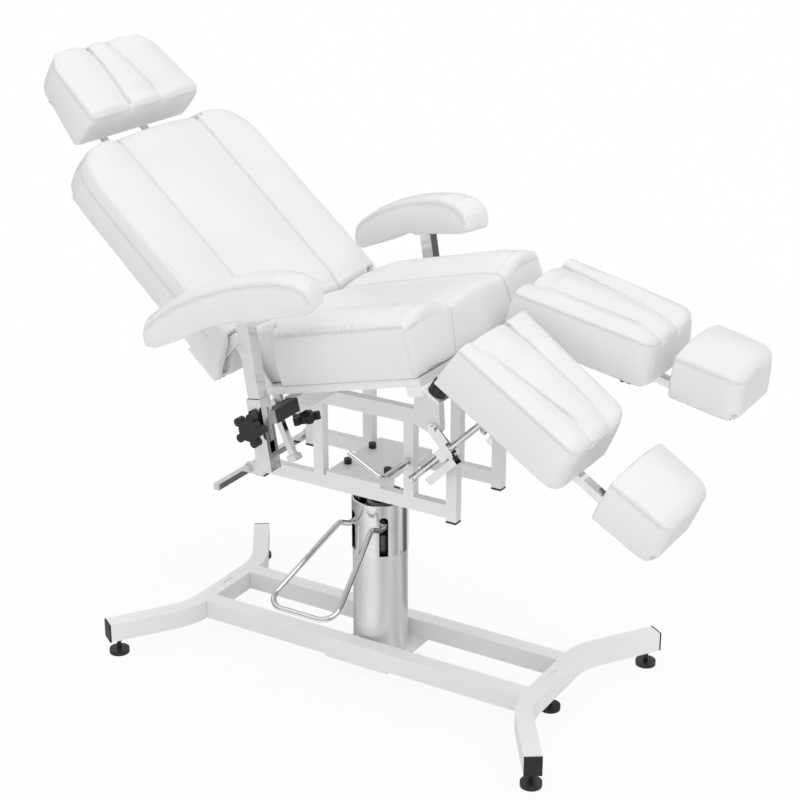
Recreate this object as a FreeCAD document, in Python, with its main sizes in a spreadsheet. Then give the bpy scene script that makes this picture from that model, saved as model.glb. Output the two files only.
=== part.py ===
import FreeCAD, Part
import math
import os
import re
from types import SimpleNamespace

# Podiatry chair: a pump column on a floor frame carries a swivelling tube frame,
# a fixed seat, a reclining back with a head cushion, two arm rests, and two leg
# rests that tilt, spread and lengthen. X runs towards the feet, Y to the sitter's
# left, Z up, and the origin is on the floor under the column.

FLOOR_FRAME = {
    "foot_radius": 23, "foot_height": 10, "stud_radius": 5, "nut_radius": 8.5,
    "nut_height": 8, "floor_gap": 38, "base_wide": 38, "base_high": 44,
    "base_rail_y": 87, "cross_x": 431, "bend_y": 136, "bend_radius": 150,
    "leg_end_x": 543, "leg_end_y": 304, "leg_foot_inset": 22, "cap_thick": 4,
    "base_plate_long": 160, "base_plate_wide": 212, "base_plate_thick": 6,
    "vent_wide": 9, "vent_half": 14, "vent_deep": 3, "vent_y": 7,
}
COLUMN = {
    "column_radius": 62, "column_wall": 3, "shroud_radius": 63.5, "shroud_wall": 4,
    "shroud_bottom": 286, "shroud_top": 408, "slot_x": 39, "slot_wide": 15.6,
    "slot_top": 381, "pump_radius": 45, "pump_neck_radius": 30, "pump_neck_z": 330,
    "pump_top": 395, "piston_radius": 22.5, "piston_bottom": 150, "run_gap": 0.05,
    "pedal_radius": 6, "pedal_pivot_y": 41, "pedal_pivot_z": 357, "pedal_pin_radius": 4,
    "pedal_pin_half": 37, "pedal_block": 5.6, "pedal_block_high": 18,
    "ear_x": 14, "ear_y": 47, "ear_thick": 8, "pedal_mouth_y": 66, "pedal_knee_y": 103,
    "pedal_knee_z": 374, "pedal_bar_half": 86, "pedal_bar_y": 325, "pedal_bar_z": 262,
    "pedal_bend": 34, "pedal_knee_bend": 16, "pedal_knee_x": 41,
}
UPPER_FRAME = {
    "post_x": 24, "post_y": 22, "frame_half": 111, "post_a": -244, "post_b": -88,
    "post_c": 138, "post_d": 241, "rail_deep": 20, "frame_bottom": 446,
    "rail_bottom": 452, "rail_top": 482, "top_rail_bottom": 648, "top_rail_top": 681,
    "top_rail_front": 151, "post_d_top": 592, "post_cap": 5, "plate_thick": 10,
    "plate_half": 68, "plate_bolt": 50.8, "bolt_radius": 5, "bolt_head_radius": 8.5,
    "bolt_head_high": 12, "hub_radius": 32, "hub_bottom": 432, "gusset_front": 201,
    "nose_x": 198, "nose_z": 647, "nose_radius": 16, "nose_turn": 45, "knee_z": 729,
    "lip_x": 210.8, "lip_z": 697, "rear_gusset_front": -76,
    "link_thick": 5, "link_radius": 13, "clamp_x": 235, "clamp_z": 608,
    "brake_x": 137, "brake_z": 560, "brake_radius": 6, "brake_out": 104,
    "brake_head": 9, "handle_x": 57, "handle_z": 601, "brake_bend": 14,
    "release_x": -268, "release_z": 458, "release_side": 14, "release_near": 240,
    "release_far": 120, "release_collar": 10, "release_ring": 13, "bracket_thick": 6,
}
SEAT = {
    "seat_front_x": 258, "seat_front_z": 822, "seat_tilt": 14, "seat_long": 420,
    "seat_half": 290, "seat_thick": 112, "seat_crown": 5, "seat_channel": 110,
    "channel_deep": 6, "seat_draw": 8, "edge_round": 14, "edge_draw_share": 0.25,
    "rear_round": 10,
    "notch_long": 91, "notch_deep": 41, "board_thick": 16, "board_half": 275,
    "board_round": 12, "receiver_side": 34, "receiver_wall": 2.5, "receiver_half": 262,
    "receiver_u": -325, "receiver_drop": 43.1, "spacer_y": 95, "spacer_wide": 70,
    "leg_axis_x": 263, "leg_axis_z": 796, "leg_pin_radius": 6, "leg_pin_half": 280,
    "lug_radius": 10, "lug_thick": 8, "lug_reach": 30,
    "lug_inner": 24, "lug_middle": 150, "lug_outer": 274,
    "lever_u": -356, "lever_drop": 33, "lever_y": 283, "lever_side": 13,
    "lever_long": 118, "lever_pin_radius": 5, "lever_lean": 10, "lever_foot": 22,
}
BACK = {
    "back_axis_behind": 4.9895, "back_axis_up": 105.9618, "back_lean": 48.6,
    "back_long": 522,
    "back_half": 301, "back_thick": 95, "back_crown": 6, "back_channel": 138,
    "channel_share": 0.6,
    "back_slant": 49, "back_corner": 100, "back_front": 1.9, "back_foot": 7,
    "back_draw": 8, "back_taper": 4, "back_tuck": 10, "back_round": 22, "back_board_thick": 16,
    "back_board_inset": 48, "back_board_foot": 27,
    "back_strip_half": 279, "back_strip_high": 87,
    "hinge_inner": 262, "hinge_thick": 6, "hinge_eye": 11, "hinge_pin_radius": 5,
    "hinge_gap": 1, "slot_side": 4, "head_lean": 50.4, "head_out": 27.24,
    "head_gap": 38.00, "head_half": 190, "head_long": 192, "head_thick": 98,
    "head_crown": 7, "head_corner": 66, "head_channel_low": 57,
    "head_channel_high": 35, "head_draw": 7, "head_taper": 8, "head_tuck": 28,
    "head_round": 24, "head_plate_thick": 6,
    "head_plate_inset": 52, "head_rod_radius": 8, "head_rod_y": 70,
    "head_rod_depth": 84, "head_rod_long": 190, "head_rod_up": 135, "soft_gap": 0.4,
}
ARM = {
    "arm_y": 359, "arm_foot_x": -41, "arm_foot_z": 600, "arm_lean": 9,
    "sleeve_side": 34, "sleeve_wall": 2.5, "sleeve_high": 149, "sleeve_cap": 4,
    "window_wide": 15, "window_low": 34, "window_high": 128, "post_side": 28,
    "post_low": 56, "post_high": 311.2, "arm_bar_side": 28, "arm_bar_inner": 150,
    "arm_plate_thick": 5, "arm_plate_wide": 44, "arm_plate_long": 50,
    "pad_toe": 14, "pad_half": 45, "pad_draw": 7, "pad_crown": 7,
    "knob_core_share": 0.62, "lobe_place_share": 0.76,
    "lobe_share": 0.24, "neck_share": 0.36, "knob_radius": 37, "knob_thick": 18,
    "knob_stud": 14,
    "knob_up": 94, "width_knob_y": 230, "small_knob_radius": 31, "small_knob_thick": 16,
}
LEG = {
    "near_tilt": 32.6, "far_tilt": 13.5, "leg_mid": 150, "leg_tube_radius": 9,
    "tube_gap": 0.6, "tube_foot": 12.6, "bracket_low": 11, "bracket_high": 16,
    "bracket_rear": 3,
    "bracket_front": 46, "bracket_inner": 29, "bracket_outer": 285,
    "splay_u": 24, "splay_y": 265, "splay_pin_radius": 6, "splay_boss": 18,
    "guide_top": 32, "leg_board_thick": 10, "leg_low": 42, "leg_high": 139, "leg_crown": 6,
    "leg_rear": 10, "leg_long": 306, "leg_rear_half": 140, "leg_front_inner": 110,
    "leg_front_outer": 144, "leg_draw": 6, "leg_nose": 16, "leg_flare": 8, "leg_round": 22,
    "leg_corner": 26, "leg_rear_round": 8, "leg_board_inset": 14,
    "channel_in_rear": -54, "channel_out_rear": 81, "channel_in_front": -35,
    "channel_out_front": 48, "guide_rear": 62, "guide_front": 296, "guide_wall": 3,
    "guide_v": 10, "bar_wide": 25, "bar_high": 16, "bar_gap": 0.4,
    "near_foot": 395, "far_foot": 366, "foot_long": 142, "foot_rear_half": 118,
    "foot_front_half": 110, "foot_low": 48, "foot_high": 137, "foot_crown": 12, "foot_lean": 13,
    "foot_round": 16, "foot_board_thick": 10, "foot_board_inset": 12,
    "bar_back": 245, "bar_front": 60, "pad_knob_u": 250, "pad_knob_radius": 17,
    "pad_knob_high": 16, "pad_knob_stud": 12, "ear_u": 118, "ear_rear": 12, "ear_radius": 11,
    "ear_plate": 4, "ear_in": 114, "ear_out": 136, "strut_y": 127,
    "strut_radius": 7, "strut_eye": 9, "strut_eye_half": 8, "strut_total": 288,
    "strut_cap": 6, "clamp_half": 18, "clamp_wide": 26, "clamp_deep": 18, "strut_lug": 12,
    "stub_radius": 6, "paddle_long": 88, "paddle_gap": 18, "paddle_high": 17,
    "paddle_wide": 20, "paddle_wall": 2, "paddle_pin": 3,
}

# The arm cushion along its length: place from the post as a share of its front or
# rear reach, underside and top as shares of arm_foot_z, half width as a share.
PAD_SPANS = {"pad_front": 155, "pad_rear": 208}
PAD_SHARES = [
    (-1.00, 1.410, 1.460, 0.72), (-0.97, 1.397, 1.483, 0.90), (-0.86, 1.398, 1.517, 1.0),
    (-0.64, 1.430, 1.568, 1.0), (-0.40, 1.473, 1.609, 1.0), (-0.14, 1.508, 1.642, 1.0),
    (0.14, 1.524, 1.663, 1.0), (0.48, 1.541, 1.676, 1.0), (0.76, 1.555, 1.671, 1.0),
    (0.93, 1.565, 1.648, 0.97), (0.985, 1.574, 1.626, 0.88), (1.00, 1.581, 1.605, 0.70),
]
# Front edge of the leg and foot cushions: place, narrowing and fall of the top,
# as shares of the corner, the corner and the rounding.
FRONT_SHARES = [(-1.0, 0, 0), (-0.35, 0.06, 0.05), (0.1, 0.25, 0.25), (0.4, 0.75, 0.6),
                (0.54, 1.5, 1.0)]
# Upper edge of the back and head cushions: drop below the top and fall of the face as
# shares of the rounding, with the widening between them as a share of the corner.
TOP_SHARES = [(1 / 3, 1 / 5, 1 / 6), (0, 0, 1 / 2)]
# Lower edge of the back cushion: how far its face has fallen, as shares of the draw.
EDGE_SHARES = (1, 0.3, 0)

SIZES = {**FLOOR_FRAME, **COLUMN, **UPPER_FRAME, **SEAT, **BACK, **ARM, **PAD_SPANS, **LEG}

doc = FreeCAD.newDocument("podiatry_chair")
sheet = doc.addObject("Spreadsheet::Sheet", "sizes")
for row, (alias, value) in enumerate(SIZES.items(), start=1):
    sheet.set(f"A{row}", alias)
    sheet.set(f"B{row}", str(value))
    sheet.setAlias(f"B{row}", alias)
doc.recompute()
s = SimpleNamespace(**{alias: float(sheet.get(alias)) for alias in SIZES})
nodes = []
AXES = {"x": ((0, 1, 0), 90), "y": ((1, 0, 0), -90), "z": ((0, 0, 1), 0)}


def formula(text):
    """An expression in which each size's name points at its cell"""
    def cell(match):
        word = match.group()
        return "sizes." + word if word in SIZES else word
    return re.sub(r"[a-z]\w*", cell, str(text))


def bind(item, **sizes):
    for field, text in sizes.items():
        item.setExpression(field, formula(text))
    return item


def move(item, x=0, y=0, z=0, turn=None, axis=(0, 1, 0)):
    """Place an item by expressions, turned about an axis if an angle is given"""
    if turn is not None:
        item.Placement.Rotation = FreeCAD.Rotation(FreeCAD.Vector(*axis), 1)
        item.setExpression("Placement.Rotation.Angle", formula(turn))
    for field, text in (("x", x), ("y", y), ("z", z)):
        item.setExpression("Placement.Base." + field, formula(text))
    return item


def box(long, wide, high, x=0, y=0, z=0):
    """A block centred on x and y that stands on z"""
    item = bind(doc.addObject("Part::Box", "block"), Length=long, Width=wide, Height=high)
    return move(item, f"{x} - ({long}) / 2", f"{y} - ({wide}) / 2", z)


def rod(radius, long, x=0, y=0, z=0, along="z"):
    """A round bar that starts at a point and runs along one axis"""
    item = bind(doc.addObject("Part::Cylinder", "bar"), Radius=radius, Height=long)
    axis, angle = AXES[along]
    item.Placement.Rotation = FreeCAD.Rotation(FreeCAD.Vector(*axis), angle)
    return move(item, x, y, z)


def group(*items):
    """Pieces held together as they are, or one piece with a place of its own"""
    item = doc.addObject("Part::Compound", "set")
    item.Links = list(items)
    return item


def fuse(*items):
    item = doc.addObject("Part::MultiFuse", "joined")
    item.Shapes = list(items)
    return item


def cut(base, *tools):
    item = doc.addObject("Part::Cut", "cut")
    item.Base = base
    item.Tool = tools[0] if len(tools) == 1 else fuse(*tools)
    return item


def solid(shape, x=0, y=0, z=0):
    """A free form, made from the sheet's sizes"""
    item = doc.addObject("Part::Feature", "form")
    if shape.Volume < 0:
        shape.reverse()
    item.Shape = shape
    return move(item, x, y, z) if (x, y, z) != (0, 0, 0) else item


def outline(points, spot):
    """Straight edges and, where an item holds two points, arcs through the first"""
    edges = []
    last = points[0]
    for step in points[1:] + [points[0]]:
        if isinstance(step[0], tuple):
            middle, end = step
            edges.append(Part.Arc(spot(*last), spot(*middle), spot(*end)))
            last = end
        else:
            edges.append(Part.LineSegment(spot(*last), spot(*step)))
            last = step
    return edges


def profile(name, points, thick, plane="XZ_Plane", start=0):
    """A plate: a sketch of its outline, padded to its thickness from a start"""
    body = doc.addObject("PartDesign::Body", name)
    sketch = body.newObject("Sketcher::SketchObject", name + "_outline")
    origin = [part for part in body.Origin.OriginFeatures if part.Role == plane]
    sketch.AttachmentSupport = [(origin[0], "")]
    sketch.MapMode = "FlatFace"
    sketch.addGeometry(outline(points, lambda a, b: FreeCAD.Vector(a, b, 0)), False)
    pad = body.newObject("PartDesign::Pad", name + "_pad")
    pad.Profile = sketch
    pad.Reversed = plane == "XZ_Plane"
    bind(pad, Length=thick)
    body.Tip = pad
    if plane == "XZ_Plane":
        return move(body, y=start)
    return move(body, z=start)


def node(item, name, **place):
    """Name a finished piece of the chair and put it in its place"""
    if place:
        item = move(group(item), **place)
    item.Label = name
    nodes.append(item)
    return item


# Floor frame: two box rails and two bent cross tubes on levelling feet
def base_frame():
    rail = "2 * (cross_x - base_wide / 2)"
    rails = [box(rail, "base_wide", "base_high", y=f"{side} * base_rail_y", z="floor_gap")
             for side in (-1, 1)]
    node(group(*rails), "base_rails")
    for name, end in (("front_cross_tube", 1), ("rear_cross_tube", -1)):
        node(cut(solid(bent_tube(end)), *tube_slot(end)), name)
    caps = []
    lean = leg_angle()
    for end in (-1, 1):
        for side in (-1, 1):
            cap = box("base_wide", "cap_thick", "base_high", y="cap_thick / 2")
            turned = -lean if end * side > 0 else lean
            holder = group(cap)
            if side < 0:
                turned = turned + 180
            caps.append(move(holder, f"{end} * leg_end_x", f"{side} * leg_end_y",
                             "floor_gap", turn=turned, axis=(0, 0, 1)))
    node(group(*caps), "tube_end_caps")
    node(group(*[levelling_foot(x, y) for x, y in foot_places()]), "levelling_feet")
    node(box("base_plate_long", "base_plate_wide", "base_plate_thick",
             z="floor_gap - base_plate_thick"), "base_plate")


def leg_angle():
    """Angle of a cross tube's end from the Y axis, in degrees"""
    return math.degrees(math.atan2(s.leg_end_x - s.cross_x, s.leg_end_y - s.bend_y))


def bent_tube(end):
    """Box tube along Y whose two ends sweep outwards round a bend"""
    lean = math.radians(leg_angle())
    reach = s.bend_radius * math.tan(lean / 2)
    middle = FreeCAD.Vector(end * s.cross_x, 0, s.floor_gap + s.base_high / 2)
    along = FreeCAD.Vector(end * math.sin(lean), math.cos(lean), 0)
    corner = middle + FreeCAD.Vector(0, s.bend_y, 0)
    start = corner - FreeCAD.Vector(0, reach, 0)
    stop = corner + along * reach
    half = lean / 2
    apex = start + FreeCAD.Vector(end * s.bend_radius * (1 - math.cos(half)),
                                  s.bend_radius * math.sin(half), 0)
    tip = FreeCAD.Vector(end * s.leg_end_x, s.leg_end_y, middle.z)
    upper = [Part.LineSegment(middle, start), Part.Arc(start, apex, stop),
             Part.LineSegment(stop, tip)]
    path = Part.Wire([edge.toShape() for edge in upper])
    wide, high = s.base_wide / 2, s.base_high / 2
    corners = [(-wide, -high), (wide, -high), (wide, high), (-wide, high), (-wide, -high)]
    ring = Part.makePolygon([middle + FreeCAD.Vector(x, 0, z) for x, z in corners])
    arm = path.makePipeShell([ring], True, False)
    return arm.fuse(arm.mirror(middle, FreeCAD.Vector(0, 1, 0))).removeSplitter()


def tube_slot(end):
    """Shallow oblong slot in the top of a cross tube, with half-round ends"""
    x, z = f"{end} * cross_x", "floor_gap + base_high - vent_deep"
    ends = [rod("vent_wide / 2", "2 * vent_deep", x, f"vent_y + {side} * vent_half", z)
            for side in (-1, 1)]
    return [box("vent_wide", "2 * vent_half", "2 * vent_deep", x, "vent_y", z), *ends]


def foot_places():
    lean = math.radians(leg_angle())
    x = f"(leg_end_x - leg_foot_inset * {math.sin(lean)})"
    y = f"(leg_end_y - leg_foot_inset * {math.cos(lean)})"
    places = [(f"{end} * {x}", f"{side} * {y}") for end in (-1, 1) for side in (-1, 1)]
    return places + [("cross_x", 0), ("-cross_x", 0)]


def levelling_foot(x, y):
    """Black disc, threaded stud and lock nut under the tube"""
    disc = rod("foot_radius", "foot_height", x, y)
    stud = rod("stud_radius", "floor_gap - foot_height", x, y, "foot_height")
    nut = rod("nut_radius", "nut_height", x, y, "floor_gap - nut_height")
    return fuse(disc, stud, nut)


# Pump column: steel tube, chrome shroud with two slots, pump and its pedal
def column():
    tube = rod("column_radius", "shroud_bottom - floor_gap", z="floor_gap")
    bore = rod("column_radius - column_wall", "shroud_bottom", z="floor_gap")
    node(cut(tube, bore), "column_tube")
    shell = rod("shroud_radius", "shroud_top - shroud_bottom", z="shroud_bottom")
    inside = rod("shroud_radius - shroud_wall", "shroud_top", z="shroud_bottom")
    slots = []
    for side in (-1, 1):
        x = f"{side} * slot_x"
        high = "slot_top - slot_wide / 2 - shroud_bottom"
        slots.append(box("slot_wide", "shroud_radius", high, x, "-shroud_radius / 2 - ear_x",
                         "shroud_bottom"))
        slots.append(rod("slot_wide / 2", "shroud_radius", x, "-shroud_radius - ear_x",
                         "slot_top - slot_wide / 2", "y"))
    node(cut(shell, inside, *slots), "column_shroud")
    body = rod("pump_radius", "pump_neck_z - floor_gap", z="floor_gap")
    neck = rod("pump_neck_radius", "pump_top - pump_neck_z", z="pump_neck_z")
    ears = [box("ear_thick", "ear_y", "pedal_block_high",
                f"{side} * ear_x", "-ear_y / 2",
                "pedal_pivot_z - pedal_block_high / 2") for side in (-1, 1)]
    pin = rod("pedal_pin_radius", "2 * pedal_pin_half", "-pedal_pin_half",
              "-pedal_pivot_y", "pedal_pivot_z", "x")
    well = rod("piston_radius + run_gap", "pump_top", z="piston_bottom - floor_gap / 2")
    node(cut(fuse(body, neck, *ears, pin), well), "pump_body")
    node(rod("piston_radius", "rail_top - piston_bottom", z="piston_bottom"), "piston")
    node(foot_pedal(), "foot_pedal")


def rounded_path(points, radii):
    """A wire of straight runs joined by arcs of the given radii"""
    edges = []
    last = points[0]
    for before, corner, after, radius in zip(points, points[1:], points[2:], radii):
        back = (before - corner).normalize()
        ahead = (after - corner).normalize()
        half = back.getAngle(ahead) / 2
        reach = radius / math.tan(half)
        first = corner + back * reach
        second = corner + ahead * reach
        inward = (back + ahead).normalize()
        middle = corner + inward * (radius / math.sin(half) - radius)
        edges.append(Part.LineSegment(last, first).toShape())
        edges.append(Part.Arc(first, middle, second).toShape())
        last = second
    edges.append(Part.LineSegment(last, points[-1]).toShape())
    return Part.Wire(edges)


def round_bar(points, radii, radius):
    path = rounded_path(points, radii)
    start = (points[1] - points[0]).normalize()
    ring = Part.Wire([Part.Circle(points[0], start, radius).toShape()])
    return path.makePipeShell([ring], True, False)


def foot_pedal():
    """Bent chrome bar whose two ends turn on the pump's pivot pin"""
    half = [(s.slot_x, -s.pedal_pivot_y, s.pedal_pivot_z),
            (s.slot_x, -s.pedal_mouth_y, s.pedal_pivot_z),
            (s.pedal_knee_x, -s.pedal_knee_y, s.pedal_knee_z),
            (s.pedal_bar_half, -s.pedal_bar_y, s.pedal_bar_z)]
    points = [FreeCAD.Vector(x, y, z) for x, y, z in half]
    points += [FreeCAD.Vector(-x, y, z) for x, y, z in reversed(half)]
    bend, knee = s.pedal_bend, s.pedal_knee_bend
    bar = solid(round_bar(points, [knee, knee, bend, bend, knee, knee], s.pedal_radius))
    blocks = [box("pedal_block", "pedal_block_high", "pedal_block_high",
                  f"{side} * (pedal_pin_half - pedal_block / 2)", "-pedal_pivot_y",
                  "pedal_pivot_z - pedal_block_high / 2") for side in (-1, 1)]
    pin = rod("pedal_pin_radius + run_gap", "4 * pedal_pin_half", "-2 * pedal_pin_half",
              "-pedal_pivot_y", "pedal_pivot_z", "x")
    return cut(fuse(bar, *blocks), pin)


# Swivelling frame: white tube sides, mounting plate with hub, gussets and locks
def seat_under(x):
    """Height of the seat board's underside above a place on the frame"""
    tilt = math.radians(s.seat_tilt)
    drop = (s.seat_front_x - x) * math.tan(tilt)
    return s.seat_front_z - drop - s.board_thick / math.cos(tilt)


def upper_frame():
    side_y = "(frame_half - post_y / 2)"
    posts, rails, caps, gussets, links = [], [], [], [], []
    for side in (-1, 1):
        y = f"{side} * {side_y}"
        for x, low, high in (("post_a", "frame_bottom", "top_rail_bottom"),
                             ("post_b", "rail_top", "top_rail_bottom"),
                             ("post_c", "rail_top", "top_rail_bottom"),
                             ("post_d", "frame_bottom", "post_d_top")):
            posts.append(box("post_x", "post_y", f"{high} - {low}", x, y, low))
        for x in ("post_a", "post_d"):
            caps.append(box("post_x", "post_y", "post_cap", x, y, "frame_bottom - post_cap"))
        rail_y = f"{side} * (frame_half - rail_deep / 2)"
        rails.append(box("post_d - post_a - post_x", "rail_deep", "rail_top - rail_bottom",
                         "(post_a + post_d) / 2", rail_y, "rail_bottom"))
        rails.append(box("top_rail_front - post_b + post_x / 2", "rail_deep",
                         "top_rail_top - top_rail_bottom",
                         "(top_rail_front + post_b - post_x / 2) / 2", rail_y,
                         "top_rail_bottom"))
        start = "-frame_half" if side < 0 else "frame_half - rail_deep"
        gussets.append(profile(f"front_gusset_{side + 1}", front_gusset(), "rail_deep",
                               start=start))
        gussets.append(profile(f"rear_gusset_{side + 1}", rear_gusset(), "rail_deep",
                               start=start))
        links.append(strut_link(side))
    node(group(*posts), "frame_posts")
    node(group(*rails), "frame_rails")
    node(group(*gussets), "frame_gussets")
    node(group(*caps), "post_caps")
    node(group(*links), "strut_links")
    plate = box("2 * plate_half", "2 * frame_half", "plate_thick", z="rail_top")
    hub = rod("hub_radius", "rail_top - hub_bottom", z="hub_bottom")
    tools = [rod("piston_radius + run_gap", "rail_top - hub_bottom", z="hub_bottom")]
    bolts = []
    for x in (-1, 1):
        for y in (-1, 1):
            spot = (f"{x} * plate_bolt", f"{y} * plate_bolt")
            tools.append(rod("bolt_radius", "3 * plate_thick", *spot, "hub_bottom"))
            tools.append(rod("bolt_radius", "2 * plate_thick", *spot, "rail_top"))
            shank = rod("bolt_radius", "2 * plate_thick", *spot, "rail_top - plate_thick")
            head = rod("bolt_head_radius", "bolt_head_high", *spot, "rail_top + plate_thick")
            bolts.append(fuse(shank, head))
    node(cut(fuse(plate, hub), *tools), "mounting_plate")
    node(group(*bolts), "plate_bolts")


def front_gusset():
    """Plate from the top rail up to the seat board, with a nose for the strut's link"""
    nose = math.radians(s.nose_turn)
    low = (s.nose_x - s.nose_radius * math.sin(nose), s.nose_z - s.nose_radius * math.cos(nose))
    tip = (s.nose_x + s.nose_radius * math.cos(nose), s.nose_z - s.nose_radius * math.sin(nose))
    end = (s.nose_x + s.nose_radius, s.nose_z)
    return [(s.top_rail_front, s.top_rail_bottom),
            (s.top_rail_front, seat_under(s.top_rail_front)),
            (s.gusset_front, seat_under(s.gusset_front)),
            (s.gusset_front, s.knee_z), (s.lip_x, s.lip_z),
            end, (tip, (s.nose_x, s.nose_z - s.nose_radius)), low]


def rear_gusset():
    rear = s.post_b - s.post_x / 2
    return [(rear, s.top_rail_top), (rear, seat_under(rear)),
            (s.rear_gusset_front, seat_under(s.rear_gusset_front)),
            (s.rear_gusset_front, s.top_rail_top)]


def strut_link(side):
    """Flat link from the gusset's nose to the leg strut's clamp, with its black bolt"""
    y = "frame_half" if side > 0 else "-frame_half - link_thick"
    ends = [rod("link_radius", "link_thick", x, y, z, "y")
            for x, z in (("nose_x", "nose_z"), ("clamp_x", "clamp_z"))]
    run = math.degrees(math.atan2(s.clamp_z - s.nose_z, s.clamp_x - s.nose_x))
    long = math.hypot(s.clamp_x - s.nose_x, s.clamp_z - s.nose_z)
    bar = profile(f"link_bar_{side + 1}", [(0, -s.link_radius), (long, -s.link_radius),
                                           (long, s.link_radius), (0, s.link_radius)],
                  "link_thick")
    holder = move(group(bar), "nose_x", y, "nose_z", turn=-run)
    bore = rod("stub_radius + run_gap", "3 * link_thick", "clamp_x",
               f"{y} - link_thick", "clamp_z", "y")
    out = "frame_half + link_thick" if side > 0 else "-frame_half - link_thick - stub_radius"
    bolt = rod("bolt_head_radius", "stub_radius", "nose_x", out, "nose_z", "y")
    return cut(fuse(*ends, holder, bolt), bore)


SEAT_PLACE = {"x": "seat_front_x", "z": "seat_front_z", "turn": "-seat_tilt"}


def section(spot, left, right, low, high, crown, draw, channels=(), deep=0, tuck=0):
    """Outline across a cushion: base drawn in by the tuck, bowed sides, crowned lobes"""
    middle = (low + high) / 2
    stops = [right - draw] + [place for place in reversed(channels)] + [left + draw]
    heights = [high] + [high - deep for _ in channels] + [high]
    points = [(left + draw + tuck, low), (right - draw - tuck, low),
              ((right - tuck / 2, middle), (right - draw, high))]
    for first, last, end in zip(stops, stops[1:], heights[1:]):
        points.append((((first + last) / 2, high + crown), (last, end)))
    edges = outline(points, spot)
    edges[-1] = Part.Arc(spot(left + draw, high), spot(left + tuck / 2, middle),
                         spot(left + draw + tuck, low))
    return Part.Wire([edge.toShape() for edge in edges])


def round_over(end, radius, sense, steps=3):
    """Places near a rounded end, each with how far the surface has fallen there"""
    spans = [math.radians(90 * step / steps) for step in range(steps + 1)]
    return [(end - sense * radius * (1 - math.cos(span)), radius * (1 - math.sin(span)))
            for span in spans]


def round_corner(top, radius, steps=4):
    """Places below a rounded upper corner, each with how far the side has drawn in"""
    turns = [math.radians(90 * step / steps) for step in range(steps)]
    return [(top - radius * (1 - math.sin(turn)), radius * (1 - math.cos(turn)))
            for turn in turns]


def seat_parts():
    """Seat cushion with its channels, its board and the receiver for the arm rests"""
    places = [(along, fall) for along, fall in round_over(-s.seat_long, s.rear_round, -1)]
    places += [(along, fall) for along, fall in reversed(round_over(0, s.edge_round, 1))]
    wires = []
    for along, fall in places:
        def spot(v, w, along=along):
            return FreeCAD.Vector(along, v, w)
        half = s.seat_half - fall * s.edge_draw_share
        wires.append(section(spot, -half, half, 0, s.seat_thick - fall, s.seat_crown,
                             s.seat_draw, (-s.seat_channel, s.seat_channel), s.channel_deep))
    cushion = solid(Part.makeLoft(wires, True, True))
    notches = [box("2 * notch_long", "2 * notch_deep", "2 * seat_thick", "-seat_long",
                   f"{side} * (seat_half)", "-seat_thick / 2") for side in (-1, 1)]
    node(cut(cushion, *notches), "seat_cushion", **SEAT_PLACE)
    node(box("seat_long", "2 * board_half", "board_thick", "-seat_long / 2",
             z="-board_thick"), "seat_board", **SEAT_PLACE)
    drop = "(receiver_drop + receiver_side / 2)"
    tube = box("receiver_side", "2 * receiver_half", "receiver_side", "receiver_u",
               z="-" + drop)
    inner = "(receiver_side - 2 * receiver_wall)"
    tunnel = box(inner, "3 * receiver_half", inner, "receiver_u",
                 z="-receiver_drop - receiver_side / 2 + receiver_wall")
    spacers = [box("receiver_side", "spacer_wide", "receiver_drop - receiver_side / 2"
                   " - board_thick", "receiver_u", f"{side} * spacer_y",
                   "-receiver_drop + receiver_side / 2") for side in (-1, 1)]
    studs = [rod("bolt_radius", f"{drop} + receiver_side", "receiver_u",
                 f"{side} * width_knob_y", "-3 * receiver_drop") for side in (-1, 1)]
    node(cut(fuse(tube, *spacers), tunnel, *studs), "arm_receiver", **SEAT_PLACE)


def leg_axis():
    """The leg rests' hinge axis in the seat's own frame"""
    tilt = math.radians(s.seat_tilt)
    along, up = s.leg_axis_x - s.seat_front_x, s.leg_axis_z - s.seat_front_z
    return (along * math.cos(tilt) + up * math.sin(tilt),
            up * math.cos(tilt) - along * math.sin(tilt))


def leg_hinge():
    """Cross pin in lugs that are welded under the seat board's front edge"""
    u, w = leg_axis()
    lugs = []
    for y in ("lug_inner", "lug_middle", "lug_outer"):
        for side in (-1, 1):
            middle = f"{side} * {y}"
            eye = rod("lug_radius", "lug_thick", u, f"{middle} - lug_thick / 2", w, "y")
            foot = box("lug_reach", "lug_thick", f"-board_thick - ({w}) + lug_radius",
                       f"{u} - lug_reach / 2", middle, f"{w} - lug_radius")
            lugs += [eye, foot]
    pin = rod("leg_pin_radius", "2 * leg_pin_half", u, "-leg_pin_half", w, "y")
    node(fuse(pin, *lugs), "leg_hinge", **SEAT_PLACE)


# Reclining back and the head cushion that slides on two rods
def back_axis():
    """The back's pins, just behind the seat and above its board"""
    tilt = math.radians(s.seat_tilt)
    u, w = -s.seat_long - s.back_axis_behind, s.back_axis_up
    return (s.seat_front_x + u * math.cos(tilt) - w * math.sin(tilt),
            s.seat_front_z + u * math.sin(tilt) + w * math.cos(tilt))


def head_spot():
    """The head cushion's lower front edge, just above the back's top"""
    lean = math.radians(s.back_lean)
    up = s.back_foot + s.back_long + s.head_gap
    axis_x, axis_z = back_axis()
    return (axis_x + s.head_out * math.cos(lean) - up * math.sin(lean),
            axis_z + s.head_out * math.sin(lean) + up * math.cos(lean))


BACK_PLACE = {"x": back_axis()[0], "z": back_axis()[1], "turn": "-back_lean"}
HEAD_PLACE = {"x": head_spot()[0], "z": head_spot()[1], "turn": "-head_lean"}


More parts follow.
